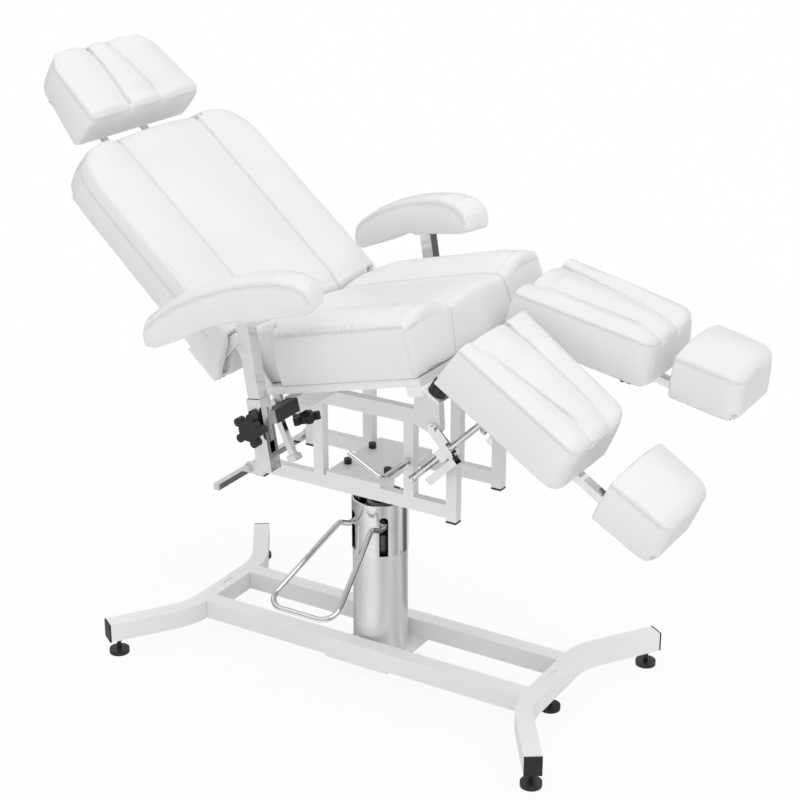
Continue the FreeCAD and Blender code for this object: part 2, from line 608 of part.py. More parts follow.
def back_parts():
    """Cushion from its slanted foot to its rounded upper corners, in the back's frame"""
    front, foot, top = s.back_front, s.back_foot, s.back_foot + s.back_long
    rows = [(foot + s.back_draw * (1 - fall), s.back_half, s.back_draw * fall, 1)
            for fall in EDGE_SHARES]
    for along, narrow in round_corner(top, s.back_corner):
        rows.append((along, s.back_half - s.back_taper - narrow, 0, 0))
    for drop, widen, fall in TOP_SHARES:
        half = s.back_half - s.back_taper - s.back_corner * (1 - widen)
        rows.append((top - s.back_round * drop, half, s.back_round * fall, 0))
    wires = []
    for along, half, fall, slanted in rows:
        slope = slanted * s.back_slant / s.back_thick
        tuck = (1 - slanted) * s.back_tuck

        def spot(v, w, along=along, slope=slope):
            return FreeCAD.Vector(front + w, v, along + slope * w)
        channel = min(s.back_channel, half * s.channel_share)
        wires.append(section(spot, -half, half, -s.back_thick + fall, -fall, s.back_crown,
                             s.back_draw, (-channel, channel), s.channel_deep, tuck))
    cushion = solid(Part.makeLoft(wires, True, True))
    slots = []
    for side in (-1, 1):
        middle = f"{side} * (hinge_inner + hinge_thick + hinge_gap / 2)"
        wide = "2 * hinge_thick + hinge_gap + 2 * slot_side"
        reach = "hinge_eye + slot_side"
        slots.append(box("back_thick + 3 * slot_side", wide, f"3 * ({reach})",
                         "-(back_thick + slot_side) / 2", middle, f"-2 * ({reach})"))
        slots.append(rod(reach, wide, 0, f"{middle} - ({wide}) / 2", 0, "y"))
    rods = [rod("head_rod_radius + soft_gap", "back_long", "-head_rod_depth",
                f"{side} * head_rod_y", "back_long - head_rod_long - soft_gap")
            for side in (-1, 1)]
    node(cut(cushion, *slots, *rods), "back_cushion", **BACK_PLACE)
    rear = "back_front - back_thick - back_board_thick"
    high = "back_long + back_foot + back_board_foot - back_board_inset"
    board = box("back_board_thick", "2 * (back_half - back_board_inset)", high,
                f"{rear} + back_board_thick / 2", z="-back_board_foot")
    strip = box("back_board_thick", "2 * back_strip_half", "back_strip_high",
                f"{rear} + back_board_thick / 2", z="-back_board_foot")
    node(fuse(board, strip), "back_board", **BACK_PLACE)
    arms = []
    for side in (-1, 1):
        inner = "hinge_inner + hinge_thick + hinge_gap"
        start = inner if side > 0 else f"-({inner}) - hinge_thick"
        eye = rod("hinge_eye", "hinge_thick", 0, start, 0, "y")
        arm = box("back_thick - back_front", "hinge_thick", "2 * hinge_eye",
                  "-(back_thick - back_front) / 2", f"{start} + hinge_thick / 2", "-hinge_eye")
        bore = rod("hinge_pin_radius + run_gap", "3 * hinge_thick", 0,
                   f"{start} - hinge_thick", 0, "y")
        arms.append(cut(fuse(eye, arm), bore))
    node(group(*arms), "back_arms", **BACK_PLACE)


def back_hinges():
    """Plates that stand on the seat board in its notches and carry the back's pins"""
    tilt = math.radians(s.seat_tilt)
    u, w = -s.seat_long - s.back_axis_behind, s.back_axis_up
    foot = -s.seat_long + s.board_round
    lean = math.atan2(w, u + s.seat_long) - math.pi / 2
    side_x, side_z = s.hinge_eye * math.cos(lean), s.hinge_eye * math.sin(lean)
    plates = []
    for side in (-1, 1):
        start = "hinge_inner" if side > 0 else "-hinge_inner - hinge_thick"
        plate = profile(f"back_hinge_{side + 1}",
                        [(foot, 0), (foot + s.notch_long / 2, 0),
                         (u + side_x, w + side_z), (u - side_x, w - side_z)],
                        "hinge_thick", start=start)
        eye = rod("hinge_eye", "hinge_thick", u, start, w, "y")
        out = "hinge_inner" if side > 0 else "-hinge_inner - 2 * hinge_thick - 2 * hinge_gap"
        pin = rod("hinge_pin_radius", "2 * hinge_thick + 2 * hinge_gap", u, out, w, "y")
        plates.append(fuse(plate, eye, pin))
    node(group(*plates), "back_hinges", **SEAT_PLACE)


def head_parts():
    """Cushion with round upper corners, and its plate on the two sliding rods"""
    rows = [(0, s.head_half - s.head_draw / 3, s.head_round / 2, 0, 0),
            (s.head_round / 2, s.head_half, 0, s.head_round / s.head_long / 2, 0)]
    slim = s.head_half - s.head_taper
    for along, narrow in round_corner(s.head_long, s.head_corner):
        rows.append((along, slim - narrow, 0, along / s.head_long, s.head_tuck))
    for drop, widen, fall in TOP_SHARES:
        half = slim - s.head_corner * (1 - widen)
        rows.append((s.head_long - s.head_round * drop, half, s.head_round * fall, 1,
                     s.head_tuck * drop))
    wires = []
    for along, half, fall, share, tuck in rows:
        def spot(v, w, along=along):
            return FreeCAD.Vector(w, v, along)
        channel = s.head_channel_low + share * (s.head_channel_high - s.head_channel_low)
        wires.append(section(spot, -half, half, -s.head_thick + fall, -fall, s.head_crown,
                             s.head_draw, (-channel, channel), s.channel_deep, tuck))
    node(solid(Part.makeLoft(wires, True, True)), "head_cushion", **HEAD_PLACE)
    plate = move(group(box("head_plate_thick", "2 * (head_half - head_plate_inset)",
                          "head_long - 2 * head_plate_inset",
                          "-head_thick - head_plate_thick / 2", z="head_plate_inset")),
                 **HEAD_PLACE)
    rods = [rod("head_rod_radius", "head_rod_long + head_rod_up", "-head_rod_depth",
                f"{side} * head_rod_y", "back_long - head_rod_long") for side in (-1, 1)]
    node(fuse(plate, move(fuse(*rods), **BACK_PLACE)), "head_frame")


# Arm rests: sleeve and cross bar, sliding post, cushion and two star knobs
def star_knob(radius, thick, stud):
    """Five lobed knob with its stud, which points down from the knob's face"""
    parts = [rod(f"{radius} * knob_core_share", thick)]
    for lobe in range(5):
        turn = math.radians(72 * lobe)
        reach = f"{radius} * lobe_place_share"
        parts.append(rod(f"{radius} * lobe_share", thick, f"{reach} * {math.cos(turn)}",
                         f"{reach} * {math.sin(turn)}"))
    parts.append(rod(f"{radius} * neck_share", f"{thick} + {stud} / 3", z=f"-{stud} / 3"))
    parts.append(rod("bolt_radius - run_gap", f"{thick} + {stud}", z=f"-{stud}"))
    return fuse(*parts)


def pad_spot(place):
    return place * (s.pad_front if place > 0 else s.pad_rear)


def arm(side, name):
    place = {"x": "arm_foot_x", "y": f"{side} * arm_y", "z": "arm_foot_z",
             "turn": "-arm_lean"}
    shell = box("sleeve_side", "sleeve_side", "sleeve_high + sleeve_cap", z="-sleeve_cap")
    inner = "(sleeve_side - 2 * sleeve_wall)"
    bore = box(inner, inner, "2 * sleeve_high")
    window = box("sleeve_side", "window_wide", "window_high - window_low",
                 "sleeve_side / 2", z="window_low")
    hole = rod("bolt_radius", "sleeve_side", 0, 0 if side > 0 else "-sleeve_side",
               "knob_up", "y")
    sleeve = move(cut(shell, bore, window, hole), **place)
    reach = "(arm_y - sleeve_side / 2 - arm_bar_inner)"
    bar = move(group(box("arm_bar_side", reach, "arm_bar_side", "receiver_u",
                        f"{side} * (arm_bar_inner + {reach} / 2)",
                        "-receiver_drop - arm_bar_side / 2")), **SEAT_PLACE)
    node(fuse(sleeve, bar), f"{name}_arm_sleeve")

    post = move(group(box("post_side", "post_side", "post_high - post_low", z="post_low")),
                **place)
    lean = math.radians(s.arm_lean)
    top_x = f"(arm_foot_x - post_high * {math.sin(lean)})"
    first, last = PAD_SHARES[5], PAD_SHARES[6]
    rise = (last[1] - first[1]) * s.arm_foot_z
    slope = math.degrees(math.atan2(rise, pad_spot(last[0]) - pad_spot(first[0])))
    plate = box("arm_plate_long", "arm_plate_wide", "arm_plate_thick", z="-arm_plate_thick")
    level = (first[1] + last[1]) / 2
    seated = group(move(group(plate), z=f"{level} * arm_foot_z", turn=-slope))
    toe = {"x": top_x, "y": f"{side} * arm_y", "turn": f"-{side} * pad_toe",
           "axis": (0, 0, 1)}
    node(fuse(post, move(seated, **toe)), f"{name}_arm_post")

    wires = []
    for share, low, high, wide in PAD_SHARES:
        def spot(v, w, along=pad_spot(share)):
            return FreeCAD.Vector(along, v, w)
        half = s.pad_half * wide
        wires.append(section(spot, -half, half, low * s.arm_foot_z, high * s.arm_foot_z,
                             s.pad_crown, s.pad_draw))
    node(solid(Part.makeLoft(wires, True, True)), f"{name}_arm_pad", **toe)

    knob = move(star_knob("knob_radius", "knob_thick", "(knob_stud + sleeve_wall)"),
                y=f"{side} * (sleeve_side / 2 + knob_stud)", z="knob_up",
                turn=-90 * side, axis=(1, 0, 0))
    node(group(knob), f"{name}_height_knob", **place)
    knob = move(star_knob("small_knob_radius", "small_knob_thick",
                          "(knob_stud + receiver_wall)"), x="receiver_u",
                y=f"{side} * width_knob_y",
                z="-receiver_drop - receiver_side / 2 - knob_stud", turn=180)
    node(group(knob), f"{name}_width_knob", **SEAT_PLACE)


# Leg rests: tilting bracket, spreading board, foot cushion on a bar, gas strut
def leg(side, name, tilt, foot):
    place = {"x": "leg_axis_x", "z": "leg_axis_z", "turn": tilt}

    def across(y):
        return f"{side} * ({y})"

    spans = [("lug_inner + lug_thick / 2 + tube_gap", "lug_middle - lug_thick / 2 - tube_gap"),
             ("lug_middle + lug_thick / 2 + tube_gap", "lug_outer - lug_thick / 2 - tube_gap")]
    parts, holes = [], []
    for inner, outer in spans:
        long = f"({outer}) - ({inner})"
        start = inner if side > 0 else f"-({outer})"
        parts.append(rod("leg_tube_radius", long, 0, start, 0, "y"))
        parts.append(box("tube_foot", long, "bracket_low",
                         "tube_foot / 2 + bracket_rear", f"{start} + ({long}) / 2"))
        holes.append(rod("leg_pin_radius + run_gap", long, 0, start, 0, "y"))
    wide = "bracket_outer - bracket_inner"
    parts.append(box("bracket_front - bracket_rear", wide, "bracket_high - bracket_low",
                     "(bracket_front + bracket_rear) / 2",
                     across("(bracket_outer + bracket_inner) / 2"), "bracket_low"))
    for y in ("ear_in + ear_plate / 2", "ear_out + ear_plate / 2"):
        parts.append(box("ear_u - ear_rear", "ear_plate", "bracket_high + ear_plate",
                         "(ear_u + ear_rear) / 2", across(y), "-ear_plate"))
        edge = f"({across(y)}) - ear_plate / 2"
        parts.append(rod("ear_radius", "ear_plate", "ear_u", edge, 0, "y"))
    for y in ("ear_in - ear_plate", "ear_out + ear_plate"):
        start = y if side > 0 else f"-({y}) - ear_plate"
        parts.append(rod("ear_radius / 2", "ear_plate", "ear_u", start, 0, "y"))
    parts.append(rod("splay_pin_radius", "leg_low - bracket_high - soft_gap", "splay_u",
                     across("splay_y"), "bracket_high"))
    node(cut(fuse(*parts), *holes), f"{name}_leg_bracket", **place)

    inset = "leg_board_inset"
    long = f"leg_long - 2 * {inset}"
    v_in, v_out = f"leg_front_inner - {inset}", f"leg_rear_half - {inset}"
    middle = across(f"leg_mid + ({v_out} - ({v_in})) / 2")
    board = box(long, f"{v_in} + {v_out}", "leg_board_thick", "leg_rear + leg_long / 2",
                middle, "leg_low")
    pocket = box(f"{long} + 2 * soft_gap", f"{v_in} + {v_out} + 2 * soft_gap",
                 "2 * leg_board_thick + soft_gap", "leg_rear + leg_long / 2", middle,
                 "leg_low - leg_board_thick")
    boss = rod("splay_boss", "leg_low - bracket_high - soft_gap", "splay_u",
               across("splay_y"), "bracket_high + soft_gap")
    outer = "bar_wide + 2 * bar_gap + 2 * guide_wall"
    guide_low = "guide_top - bar_high - 2 * bar_gap - guide_wall"
    guide = box("guide_front - guide_rear", outer, f"leg_low - ({guide_low})",
                "(guide_front + guide_rear) / 2", across("leg_mid + guide_v"), guide_low)
    tunnel = box("2 * guide_front", "bar_wide + 2 * bar_gap", "bar_high + 2 * bar_gap",
                 "guide_front", across("leg_mid + guide_v"), f"{guide_low} + guide_wall")
    pin = rod("splay_pin_radius + run_gap", "2 * leg_low", "splay_u", across("splay_y"))
    hole = rod("bolt_radius", "2 * guide_wall", "pad_knob_u", across("leg_mid + guide_v"),
               f"{guide_low} - guide_wall / 2")
    node(cut(fuse(board, boss, guide), tunnel, pin, hole), f"{name}_leg_board", **place)

    node(cut(solid(leg_cushion(side)), pocket), f"{name}_leg_cushion", **place)

    bar_low = "guide_top - bar_high - bar_gap"
    bar = box("bar_back + bar_front", "bar_wide", "bar_high",
              f"{foot} + (bar_front - bar_back) / 2", across("leg_mid + guide_v"), bar_low)
    riser = box("bar_front", "2 * bar_wide",
                f"foot_low - ({bar_low}) - bar_high + bar_gap",
                f"{foot} + bar_front / 2 + foot_board_inset", across("leg_mid + guide_v"),
                f"{bar_low} + bar_high - bar_gap")
    base_long = "foot_long - 2 * foot_board_inset"
    base_wide = "2 * (foot_front_half - foot_board_inset)"
    base = box(base_long, base_wide, "foot_board_thick",
               f"{foot} + foot_lean + foot_long / 2",
               across("leg_mid + guide_v"), "foot_low")
    pocket = box(f"{base_long} + 2 * soft_gap", f"{base_wide} + 2 * soft_gap",
                 "2 * foot_board_thick + soft_gap", f"{foot} + foot_lean + foot_long / 2",
                 across("leg_mid + guide_v"), "foot_low - foot_board_thick")
    node(fuse(bar, riser, base), f"{name}_foot_bar", **place)
    node(cut(solid(foot_cushion(side, getattr(s, foot))), pocket), f"{name}_foot_cushion",
         **place)

    knob = move(star_knob("pad_knob_radius", "pad_knob_high", "pad_knob_stud"),
                x="pad_knob_u", y=across("leg_mid + guide_v"),
                z=f"{guide_low} + guide_wall - bar_gap - pad_knob_stud", turn=180)
    node(group(knob), f"{name}_pad_knob", **place)
    leg_strut(side, name, math.radians(getattr(s, tilt)))


def leg_cushion(side):
    end = s.leg_rear + s.leg_long - s.leg_corner * FRONT_SHARES[-1][0]
    rows = [(along, 0, fall) for along, fall in round_over(s.leg_rear, s.leg_rear_round, -1)]
    rows += [(end + s.leg_corner * along, s.leg_corner * narrow, s.leg_round * fall)
             for along, narrow, fall in FRONT_SHARES]
    wires = []
    for along, narrow, fall in rows:
        share = (along - s.leg_rear) / s.leg_long

        def between(rear, front, share=share):
            return rear + share * (front - rear)

        def spot(v, w, along=along, share=share):
            nose = s.leg_nose * share * (s.leg_high - w) / (s.leg_high - s.leg_low)
            return FreeCAD.Vector(along + nose, side * (s.leg_mid + v), w)
        left = -between(s.leg_rear_half, s.leg_front_inner) + narrow
        right = between(s.leg_rear_half, s.leg_front_outer) - narrow
        channels = (between(s.channel_in_rear, s.channel_in_front),
                    between(s.channel_out_rear, s.channel_out_front))
        wires.append(section(spot, left, right, s.leg_low, s.leg_high - fall, s.leg_crown,
                             s.leg_draw, channels, s.channel_deep, -s.leg_flare))
    return Part.makeLoft(wires, True, True)


def foot_cushion(side, rear):
    end = rear + s.foot_long - s.leg_corner * FRONT_SHARES[-1][0]
    rows = [(along, 0, fall) for along, fall in round_over(rear, s.leg_rear_round, -1)]
    rows += [(end + s.leg_corner * along, s.leg_corner * narrow, s.foot_round * fall)
             for along, narrow, fall in FRONT_SHARES]
    wires = []
    for along, narrow, fall in rows:
        share = (along - rear) / s.foot_long

        def spot(v, w, along=along):
            nose = s.foot_lean * (s.foot_high - w) / (s.foot_high - s.foot_low)
            return FreeCAD.Vector(along + nose, side * (s.leg_mid + s.guide_v + v), w)
        half = s.foot_rear_half + share * (s.foot_front_half - s.foot_rear_half) - narrow
        wires.append(section(spot, -half, half, s.foot_low, s.foot_high - fall,
                             s.foot_crown, s.leg_draw, tuck=-s.leg_flare))
    return Part.makeLoft(wires, True, True)


def leg_strut(side, name, tilt):
    """Rod from the leg bracket's ears through a clamp that turns on the strut's link"""
    ear_x = s.leg_axis_x + s.ear_u * math.cos(tilt)
    ear_z = s.leg_axis_z - s.ear_u * math.sin(tilt)
    rise = math.degrees(math.atan2(ear_z - s.clamp_z, ear_x - s.clamp_x))
    long = math.hypot(ear_x - s.clamp_x, ear_z - s.clamp_z)
    place = {"x": "clamp_x", "y": f"{side} * strut_y", "z": "clamp_z", "turn": -rise}
    block = box("2 * clamp_half", "clamp_deep", "clamp_wide", z="-clamp_wide / 2")
    reach = "strut_y - clamp_deep / 2 - frame_half - soft_gap"
    start = f"-clamp_deep / 2 - ({reach})" if side > 0 else "clamp_deep / 2"
    stub = rod("stub_radius", reach, 0, start, 0, "y")
    lug = box("strut_lug", "clamp_deep / 2", "paddle_gap", "strut_lug / 2",
              z="-clamp_wide / 2 - paddle_gap")
    axis = "(-paddle_gap - strut_lug / 2)"
    holes = [rod("strut_radius + run_gap", "4 * clamp_half", "-2 * clamp_half", along="x"),
             rod("paddle_pin + run_gap", "clamp_wide", "strut_lug / 2", "-clamp_wide / 2",
                 axis, "y")]
    node(cut(fuse(block, stub, lug), *holes), f"{name}_strut_clamp", **place)
    bar = rod("strut_radius", "strut_total", f"{long} - strut_total", along="x")
    cap = rod("strut_eye - bar_gap", "strut_cap", f"{long} - strut_total", along="x")
    eye = rod("strut_eye", "2 * strut_eye_half", long, "-strut_eye_half", 0, "y")
    node(fuse(bar, cap, eye), f"{name}_strut_rod", **place)
    shell = box("paddle_long", "paddle_wide", "paddle_high",
                "strut_lug - paddle_long / 2", z="-paddle_gap - paddle_high")
    inner = box("paddle_long", "paddle_wide - 2 * paddle_wall", "2 * paddle_high",
                "strut_lug - paddle_long / 2 + paddle_wall",
                z="-paddle_gap - paddle_high + paddle_wall")
    pin = rod("paddle_pin", "paddle_wide", "strut_lug / 2", "-paddle_wide / 2", axis, "y")
    node(fuse(cut(shell, inner), pin), f"{name}_strut_paddle", **place)


# Hand controls: swivel brake, rear release bar, recline lever and their brackets
def controls():
    start = -s.frame_half - s.soft_gap
    end = FreeCAD.Vector(s.brake_x, start - s.brake_out, s.brake_z)
    points = [FreeCAD.Vector(s.brake_x, start, s.brake_z), end,
              FreeCAD.Vector(s.handle_x, end.y, s.handle_z)]
    lever = solid(round_bar(points, [s.brake_bend], s.brake_radius))
    head = rod("brake_head", "brake_radius", "brake_x",
               "-frame_half - soft_gap - 2 * brake_radius", "brake_z", "y")
    node(fuse(lever, head), "brake_lever")

    long = "release_near + release_far"
    bar = box("release_side", long, "release_side", "release_x",
              "(release_far - release_near) / 2", "release_z - release_side / 2")
    parts, brackets = [bar], []
    for side in (-1, 1):
        near = "frame_half" if side > 0 else "-frame_half - bracket_thick"
        parts.append(rod("release_collar", "bracket_thick + 2 * cap_thick", "release_x",
                         f"{near} - cap_thick", "release_z", "y"))
        ring = rod("release_ring", "bracket_thick", "release_x", near, "release_z", "y")
        arm_long = "(post_a + post_x / 2 - release_x)"
        plate = box(arm_long, "bracket_thick", "2 * release_ring",
                    f"release_x + {arm_long} / 2", f"{near} + bracket_thick / 2",
                    "release_z - release_ring")
        bore = rod("release_collar + run_gap", "3 * bracket_thick", "release_x",
                   f"{near} - bracket_thick", "release_z", "y")
        brackets.append(cut(fuse(ring, plate), bore))
    node(fuse(*parts), "release_bar")

    block = box("4 * lever_pin_radius", "2 * lever_pin_radius", "lever_drop - board_thick"
                " + 2 * lever_pin_radius", "lever_u", "-board_half + 2 * lever_pin_radius",
                "-lever_drop - 2 * lever_pin_radius")
    pin = rod("lever_pin_radius", "lever_y - board_half + 3 * lever_pin_radius", "lever_u",
              "-lever_y - lever_side / 2", "-lever_drop", "y")
    brackets.append(move(fuse(block, pin), **SEAT_PLACE))
    node(group(*brackets), "lever_brackets")
    stem = box("lever_side", "lever_side", "lever_long", z="-lever_long")
    eye = rod("2 * lever_pin_radius", "lever_side", 0, "-lever_side / 2", 0, "y")
    foot = box("lever_foot", "lever_foot", "lever_side", z="-lever_long - lever_side / 2")
    bore = rod("lever_pin_radius + run_gap", "2 * lever_side", 0, "-lever_side", 0, "y")
    hung = move(cut(fuse(stem, eye, foot), bore), "lever_u", "-lever_y", "-lever_drop",
                turn="-lever_lean")
    node(group(hung), "recline_lever", **SEAT_PLACE)


base_frame()
column()
upper_frame()
seat_parts()
leg_hinge()
back_hinges()
back_parts()
head_parts()
arm(-1, "right")
arm(1, "left")
leg(-1, "right", "near_tilt", "near_foot")
leg(1, "left", "far_tilt", "far_foot")
controls()
doc.recompute()

faults = [f"{item.Label}: {', '.join(item.State)}" for item in doc.Objects
          if "Invalid" in item.State or "Error" in item.State]
for item in nodes:
    if item.Shape.isNull() or not item.Shape.isValid():
        faults.append(f"{item.Label}: shape is not valid")
if faults:
    raise RuntimeError("; ".join(faults))
os.makedirs("parts", exist_ok=True)
for item in nodes:
    item.Shape.exportStep(f"parts/{item.Label}.step")
    print(item.Label, len(item.Shape.Solids), round(item.Shape.Volume))
print(len(nodes), "nodes")
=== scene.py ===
import math

import bmesh
import bpy
import numpy as np
from mathutils import Matrix, Vector
from mathutils.bvhtree import BVHTree


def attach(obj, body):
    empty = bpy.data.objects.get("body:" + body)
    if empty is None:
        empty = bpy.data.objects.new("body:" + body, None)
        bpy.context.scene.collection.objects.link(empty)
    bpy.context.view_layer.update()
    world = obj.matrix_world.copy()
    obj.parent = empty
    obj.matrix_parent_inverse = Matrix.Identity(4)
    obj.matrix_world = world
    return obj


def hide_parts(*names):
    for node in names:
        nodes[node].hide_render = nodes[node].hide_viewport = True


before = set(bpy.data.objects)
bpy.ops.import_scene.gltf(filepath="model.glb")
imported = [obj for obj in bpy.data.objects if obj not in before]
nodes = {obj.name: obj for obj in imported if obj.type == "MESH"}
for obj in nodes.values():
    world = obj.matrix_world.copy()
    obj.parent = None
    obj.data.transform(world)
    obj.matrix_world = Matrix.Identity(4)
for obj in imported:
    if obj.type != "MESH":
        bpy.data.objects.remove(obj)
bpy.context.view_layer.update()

scene = bpy.context.scene


# The floor frame: two levelled cross tubes joined by two rails under the column plate.
# Rectangular steel tube, welded and powder coated white: a hard clean paint skin with
# a slight orange peel and a few patches that cleaning has made duller.
class Link:
    """A socket that takes part in sums written as Python"""

    def __init__(self, finish, socket):
        self.finish = finish
        self.socket = socket

    def math(self, operation, *values):
        return self.finish.add("ShaderNodeMath", {"operation": operation},
                               dict(enumerate(values)))

    def __add__(self, other):
        return self.math("ADD", self, other)

    def __mul__(self, other):
        return self.math("MULTIPLY", self, other)

    def __sub__(self, other):
        return self.math("SUBTRACT", self, other)

    def __rsub__(self, other):
        return self.math("SUBTRACT", other, self)

    def __abs__(self):
        return self.math("ABSOLUTE", self)

    __radd__ = __add__
    __rmul__ = __mul__

    def over(self, low, high):
        """0 below the low value and 1 above the high one"""
        settings = {"interpolation_type": "SMOOTHSTEP"}
        return self.finish.add("ShaderNodeMapRange", settings,
                               {"Value": self, "From Min": low, "From Max": high})


class Finish:
    """A node tree, and the one method that adds a node to it"""

    def __init__(self, owner):
        self.owner = owner
        owner.use_nodes = True
        self.tree = owner.node_tree

    def add(self, kind, settings=None, sockets=None, out=0):
        node = self.tree.nodes.new(kind)
        for name, value in (settings or {}).items():
            if name == "stops":
                self.ramp(node.color_ramp, value)
            else:
                setattr(node, name, value)
        for name, value in (sockets or {}).items():
            self.feed(node.inputs[name], value)
        return Link(self, node.outputs[out])

    def ramp(self, ramp, stops):
        while len(ramp.elements) < len(stops):
            ramp.elements.new(0.5)
        for element, (place, tone) in zip(ramp.elements, stops):
            element.position = place
            element.color = (*tone, 1)

    def feed(self, socket, value):
        if isinstance(value, Link):
            self.tree.links.new(value.socket, socket)
        elif isinstance(value, tuple) and len(socket.default_value) > len(value):
            socket.default_value = (*value, 1)
        else:
            socket.default_value = value

    def blend(self, share, first, second):
        """One colour over another"""
        settings = {"data_type": "RGBA"}
        return self.add("ShaderNodeMix", settings, {0: share, 6: first, 7: second}, out=2)

    def place(self):
        """A point of the piece, in metres"""
        return self.add("ShaderNodeTexCoord", out="Object")

    def noise(self, scale, detail=2.0, at=None, stretch=None):
        at = at or self.place()
        if stretch:
            at = self.add("ShaderNodeMapping", sockets={"Vector": at, "Scale": stretch})
        return self.add("ShaderNodeTexNoise", sockets={
            "Vector": at, "Scale": scale, "Detail": detail})

    def relief(self, height, depth, strength=1.0, over=None):
        sockets = {"Height": height, "Distance": depth, "Strength": strength}
        if over:
            sockets["Normal"] = over
        return self.add("ShaderNodeBump", sockets=sockets)


def surface(name, **values):
    """A new finish whose shader's own sockets hold what is the same all over"""
    finish = Finish(bpy.data.materials.new(name))
    shader = finish.tree.nodes["Principled BSDF"]
    finish.skin = shader.inputs
    for socket, value in values.items():
        finish.feed(shader.inputs[socket.replace("_", " ")], value)
    return finish


def powder_coat():
    paint = surface("white_powder_coat", Specular_IOR_Level=0.5, Coat_Roughness=0.16)
    peel = paint.noise(620, 2.0)
    cloud = paint.noise(7, 3.0)
    rub = paint.noise(44, 4.0).over(0.58, 0.8)
    tone = paint.blend(cloud.over(0.3, 0.75), (0.875, 0.877, 0.88), (0.90, 0.902, 0.905))
    paint.feed(paint.skin["Base Color"], paint.blend(rub * 0.12, tone, (0.80, 0.80, 0.80)))
    paint.feed(paint.skin["Roughness"], 0.27 + cloud * 0.10 + rub * 0.10)
    paint.feed(paint.skin["Coat Weight"], 0.35 - rub * 0.15)
    paint.feed(paint.skin["Normal"], paint.relief(peel, 0.00012, 0.5))
    return paint.owner


white_steel = powder_coat()


# The shroud, the posts, the levers and the struts are bright chrome plate over steel:
# a clear mirror with faint draw marks along the bar and dull patches from handling.
CHROME_BRIGHT, CHROME_DULL = (0.80, 0.81, 0.82), (0.70, 0.71, 0.72)


def chrome_plate():
    plate = surface("chrome_plate", Metallic=1.0)
    marks = plate.noise(160, 3.0, stretch=(1, 1, 0.06))
    hands = plate.noise(22, 4.0)
    tone = plate.blend(hands.over(0.35, 0.8), CHROME_BRIGHT, CHROME_DULL)
    plate.feed(plate.skin["Base Color"], tone)
    plate.feed(plate.skin["Roughness"], 0.04 + hands.over(0.45, 0.8) * 0.07 + marks * 0.03)
    plate.feed(plate.skin["Normal"], plate.relief(marks, 0.00004, 0.35))
    return plate.owner


chrome = chrome_plate()


# The lower column tube is stainless steel, brushed along its length to a satin skin under
# the polished shroud. Soft upright bands of painted reflection run along it, lighter in colour
# and a little rougher.
def brushed_tube():
    satin = surface("brushed_stainless", Metallic=0.72)
    lines = satin.noise(900, 2.0, stretch=(1, 1, 0.012))
    painted_light_bands = satin.noise(34, 2.0, stretch=(1, 1, 0.1))
    # painted reflection: the colour is lighter along the soft upright bands
    tone = satin.blend(painted_light_bands.over(0.35, 0.7), (0.80, 0.80, 0.805), (0.88, 0.88, 0.885))
    satin.feed(satin.skin["Base Color"], tone)
    satin.feed(satin.skin["Roughness"], 0.26 + painted_light_bands * 0.1 + lines * 0.06)
    satin.feed(satin.skin["Normal"], satin.relief(lines, 0.00003, 0.4))
    return satin.owner


nodes["column_tube"].material_slots[0].material = brushed_tube()


# Knobs, tube caps, feet, bolts and the boards under the leg rests are moulded in black
# plastic: matt, with a fine spark-eroded texture and grey rubbing on what is touched.
def moulded_black():
    moulded = surface("moulded_black", Specular_IOR_Level=0.45)
    spark = moulded.noise(1500, 2.0)
    rub = moulded.noise(85, 4.0).over(0.5, 0.8)
    tone = moulded.blend(rub, (0.016, 0.016, 0.017), (0.045, 0.045, 0.047))
    moulded.feed(moulded.skin["Base Color"], tone)
    moulded.feed(moulded.skin["Roughness"], 0.40 + rub * 0.14)
    moulded.feed(moulded.skin["Normal"], moulded.relief(spark, 0.00008, 0.6))
    return moulded.owner


black_plastic = moulded_black()


# The pump body inside the shroud is dark machined steel, wet with a film of oil.
# Turning marks run round it, and the film pools in darker clouds.
def machined_steel():
    steel = surface("oiled_machined_steel", Metallic=1.0)
    rings = steel.noise(420, 2.0, stretch=(0.04, 0.04, 1))
    oil = steel.noise(30, 4.0).over(0.4, 0.7)
    tone = steel.blend(oil, (0.20, 0.20, 0.21), (0.10, 0.10, 0.105))
    steel.feed(steel.skin["Base Color"], tone)
    steel.feed(steel.skin["Roughness"], 0.42 - oil * 0.2)
    steel.feed(steel.skin["Normal"], steel.relief(rings, 0.00006, 0.5))
    return steel.owner


grey_steel = machined_steel()


# Each arm sleeve is a chrome tube on a black painted cross bar that slides into the
# receiver under the seat. Both are one welded part, so the paint stops at the sleeve.
def sleeve_finish():
    sleeve = surface("chrome_sleeve_black_bar")
    side = sleeve.add("ShaderNodeSeparateXYZ", sockets={"Vector": sleeve.place()}, out="Y")
    paint = 1 - abs(side).over(0.3415, 0.3421)
    hands = sleeve.noise(22, 4.0)
    bright = sleeve.blend(hands.over(0.35, 0.8), CHROME_BRIGHT, CHROME_DULL)
    tone = sleeve.blend(paint, bright, (0.018, 0.018, 0.019))
    sleeve.feed(sleeve.skin["Base Color"], tone)
    sleeve.feed(sleeve.skin["Metallic"], 1 - paint)
    sleeve.feed(sleeve.skin["Roughness"], 0.08 + hands * 0.06 + paint * 0.28)
    peel = sleeve.noise(620, 2.0)
    sleeve.feed(sleeve.skin["Normal"], sleeve.relief(peel * paint, 0.00012, 0.5))
    return sleeve.owner


SLOT_FINISHES = {"white_steel": white_steel, "chrome": chrome,
                 "black_plastic": black_plastic, "grey_steel": grey_steel}
for solid in nodes.values():
    for holder in solid.material_slots:
        slot_name = holder.material.name.split(".")[0]
        if slot_name in SLOT_FINISHES:
            holder.material = SLOT_FINISHES[slot_name]
sleeve_paint = sleeve_finish()
for arm_name in ("left_arm_sleeve", "right_arm_sleeve"):
    nodes[arm_name].material_slots[0].material = sleeve_paint
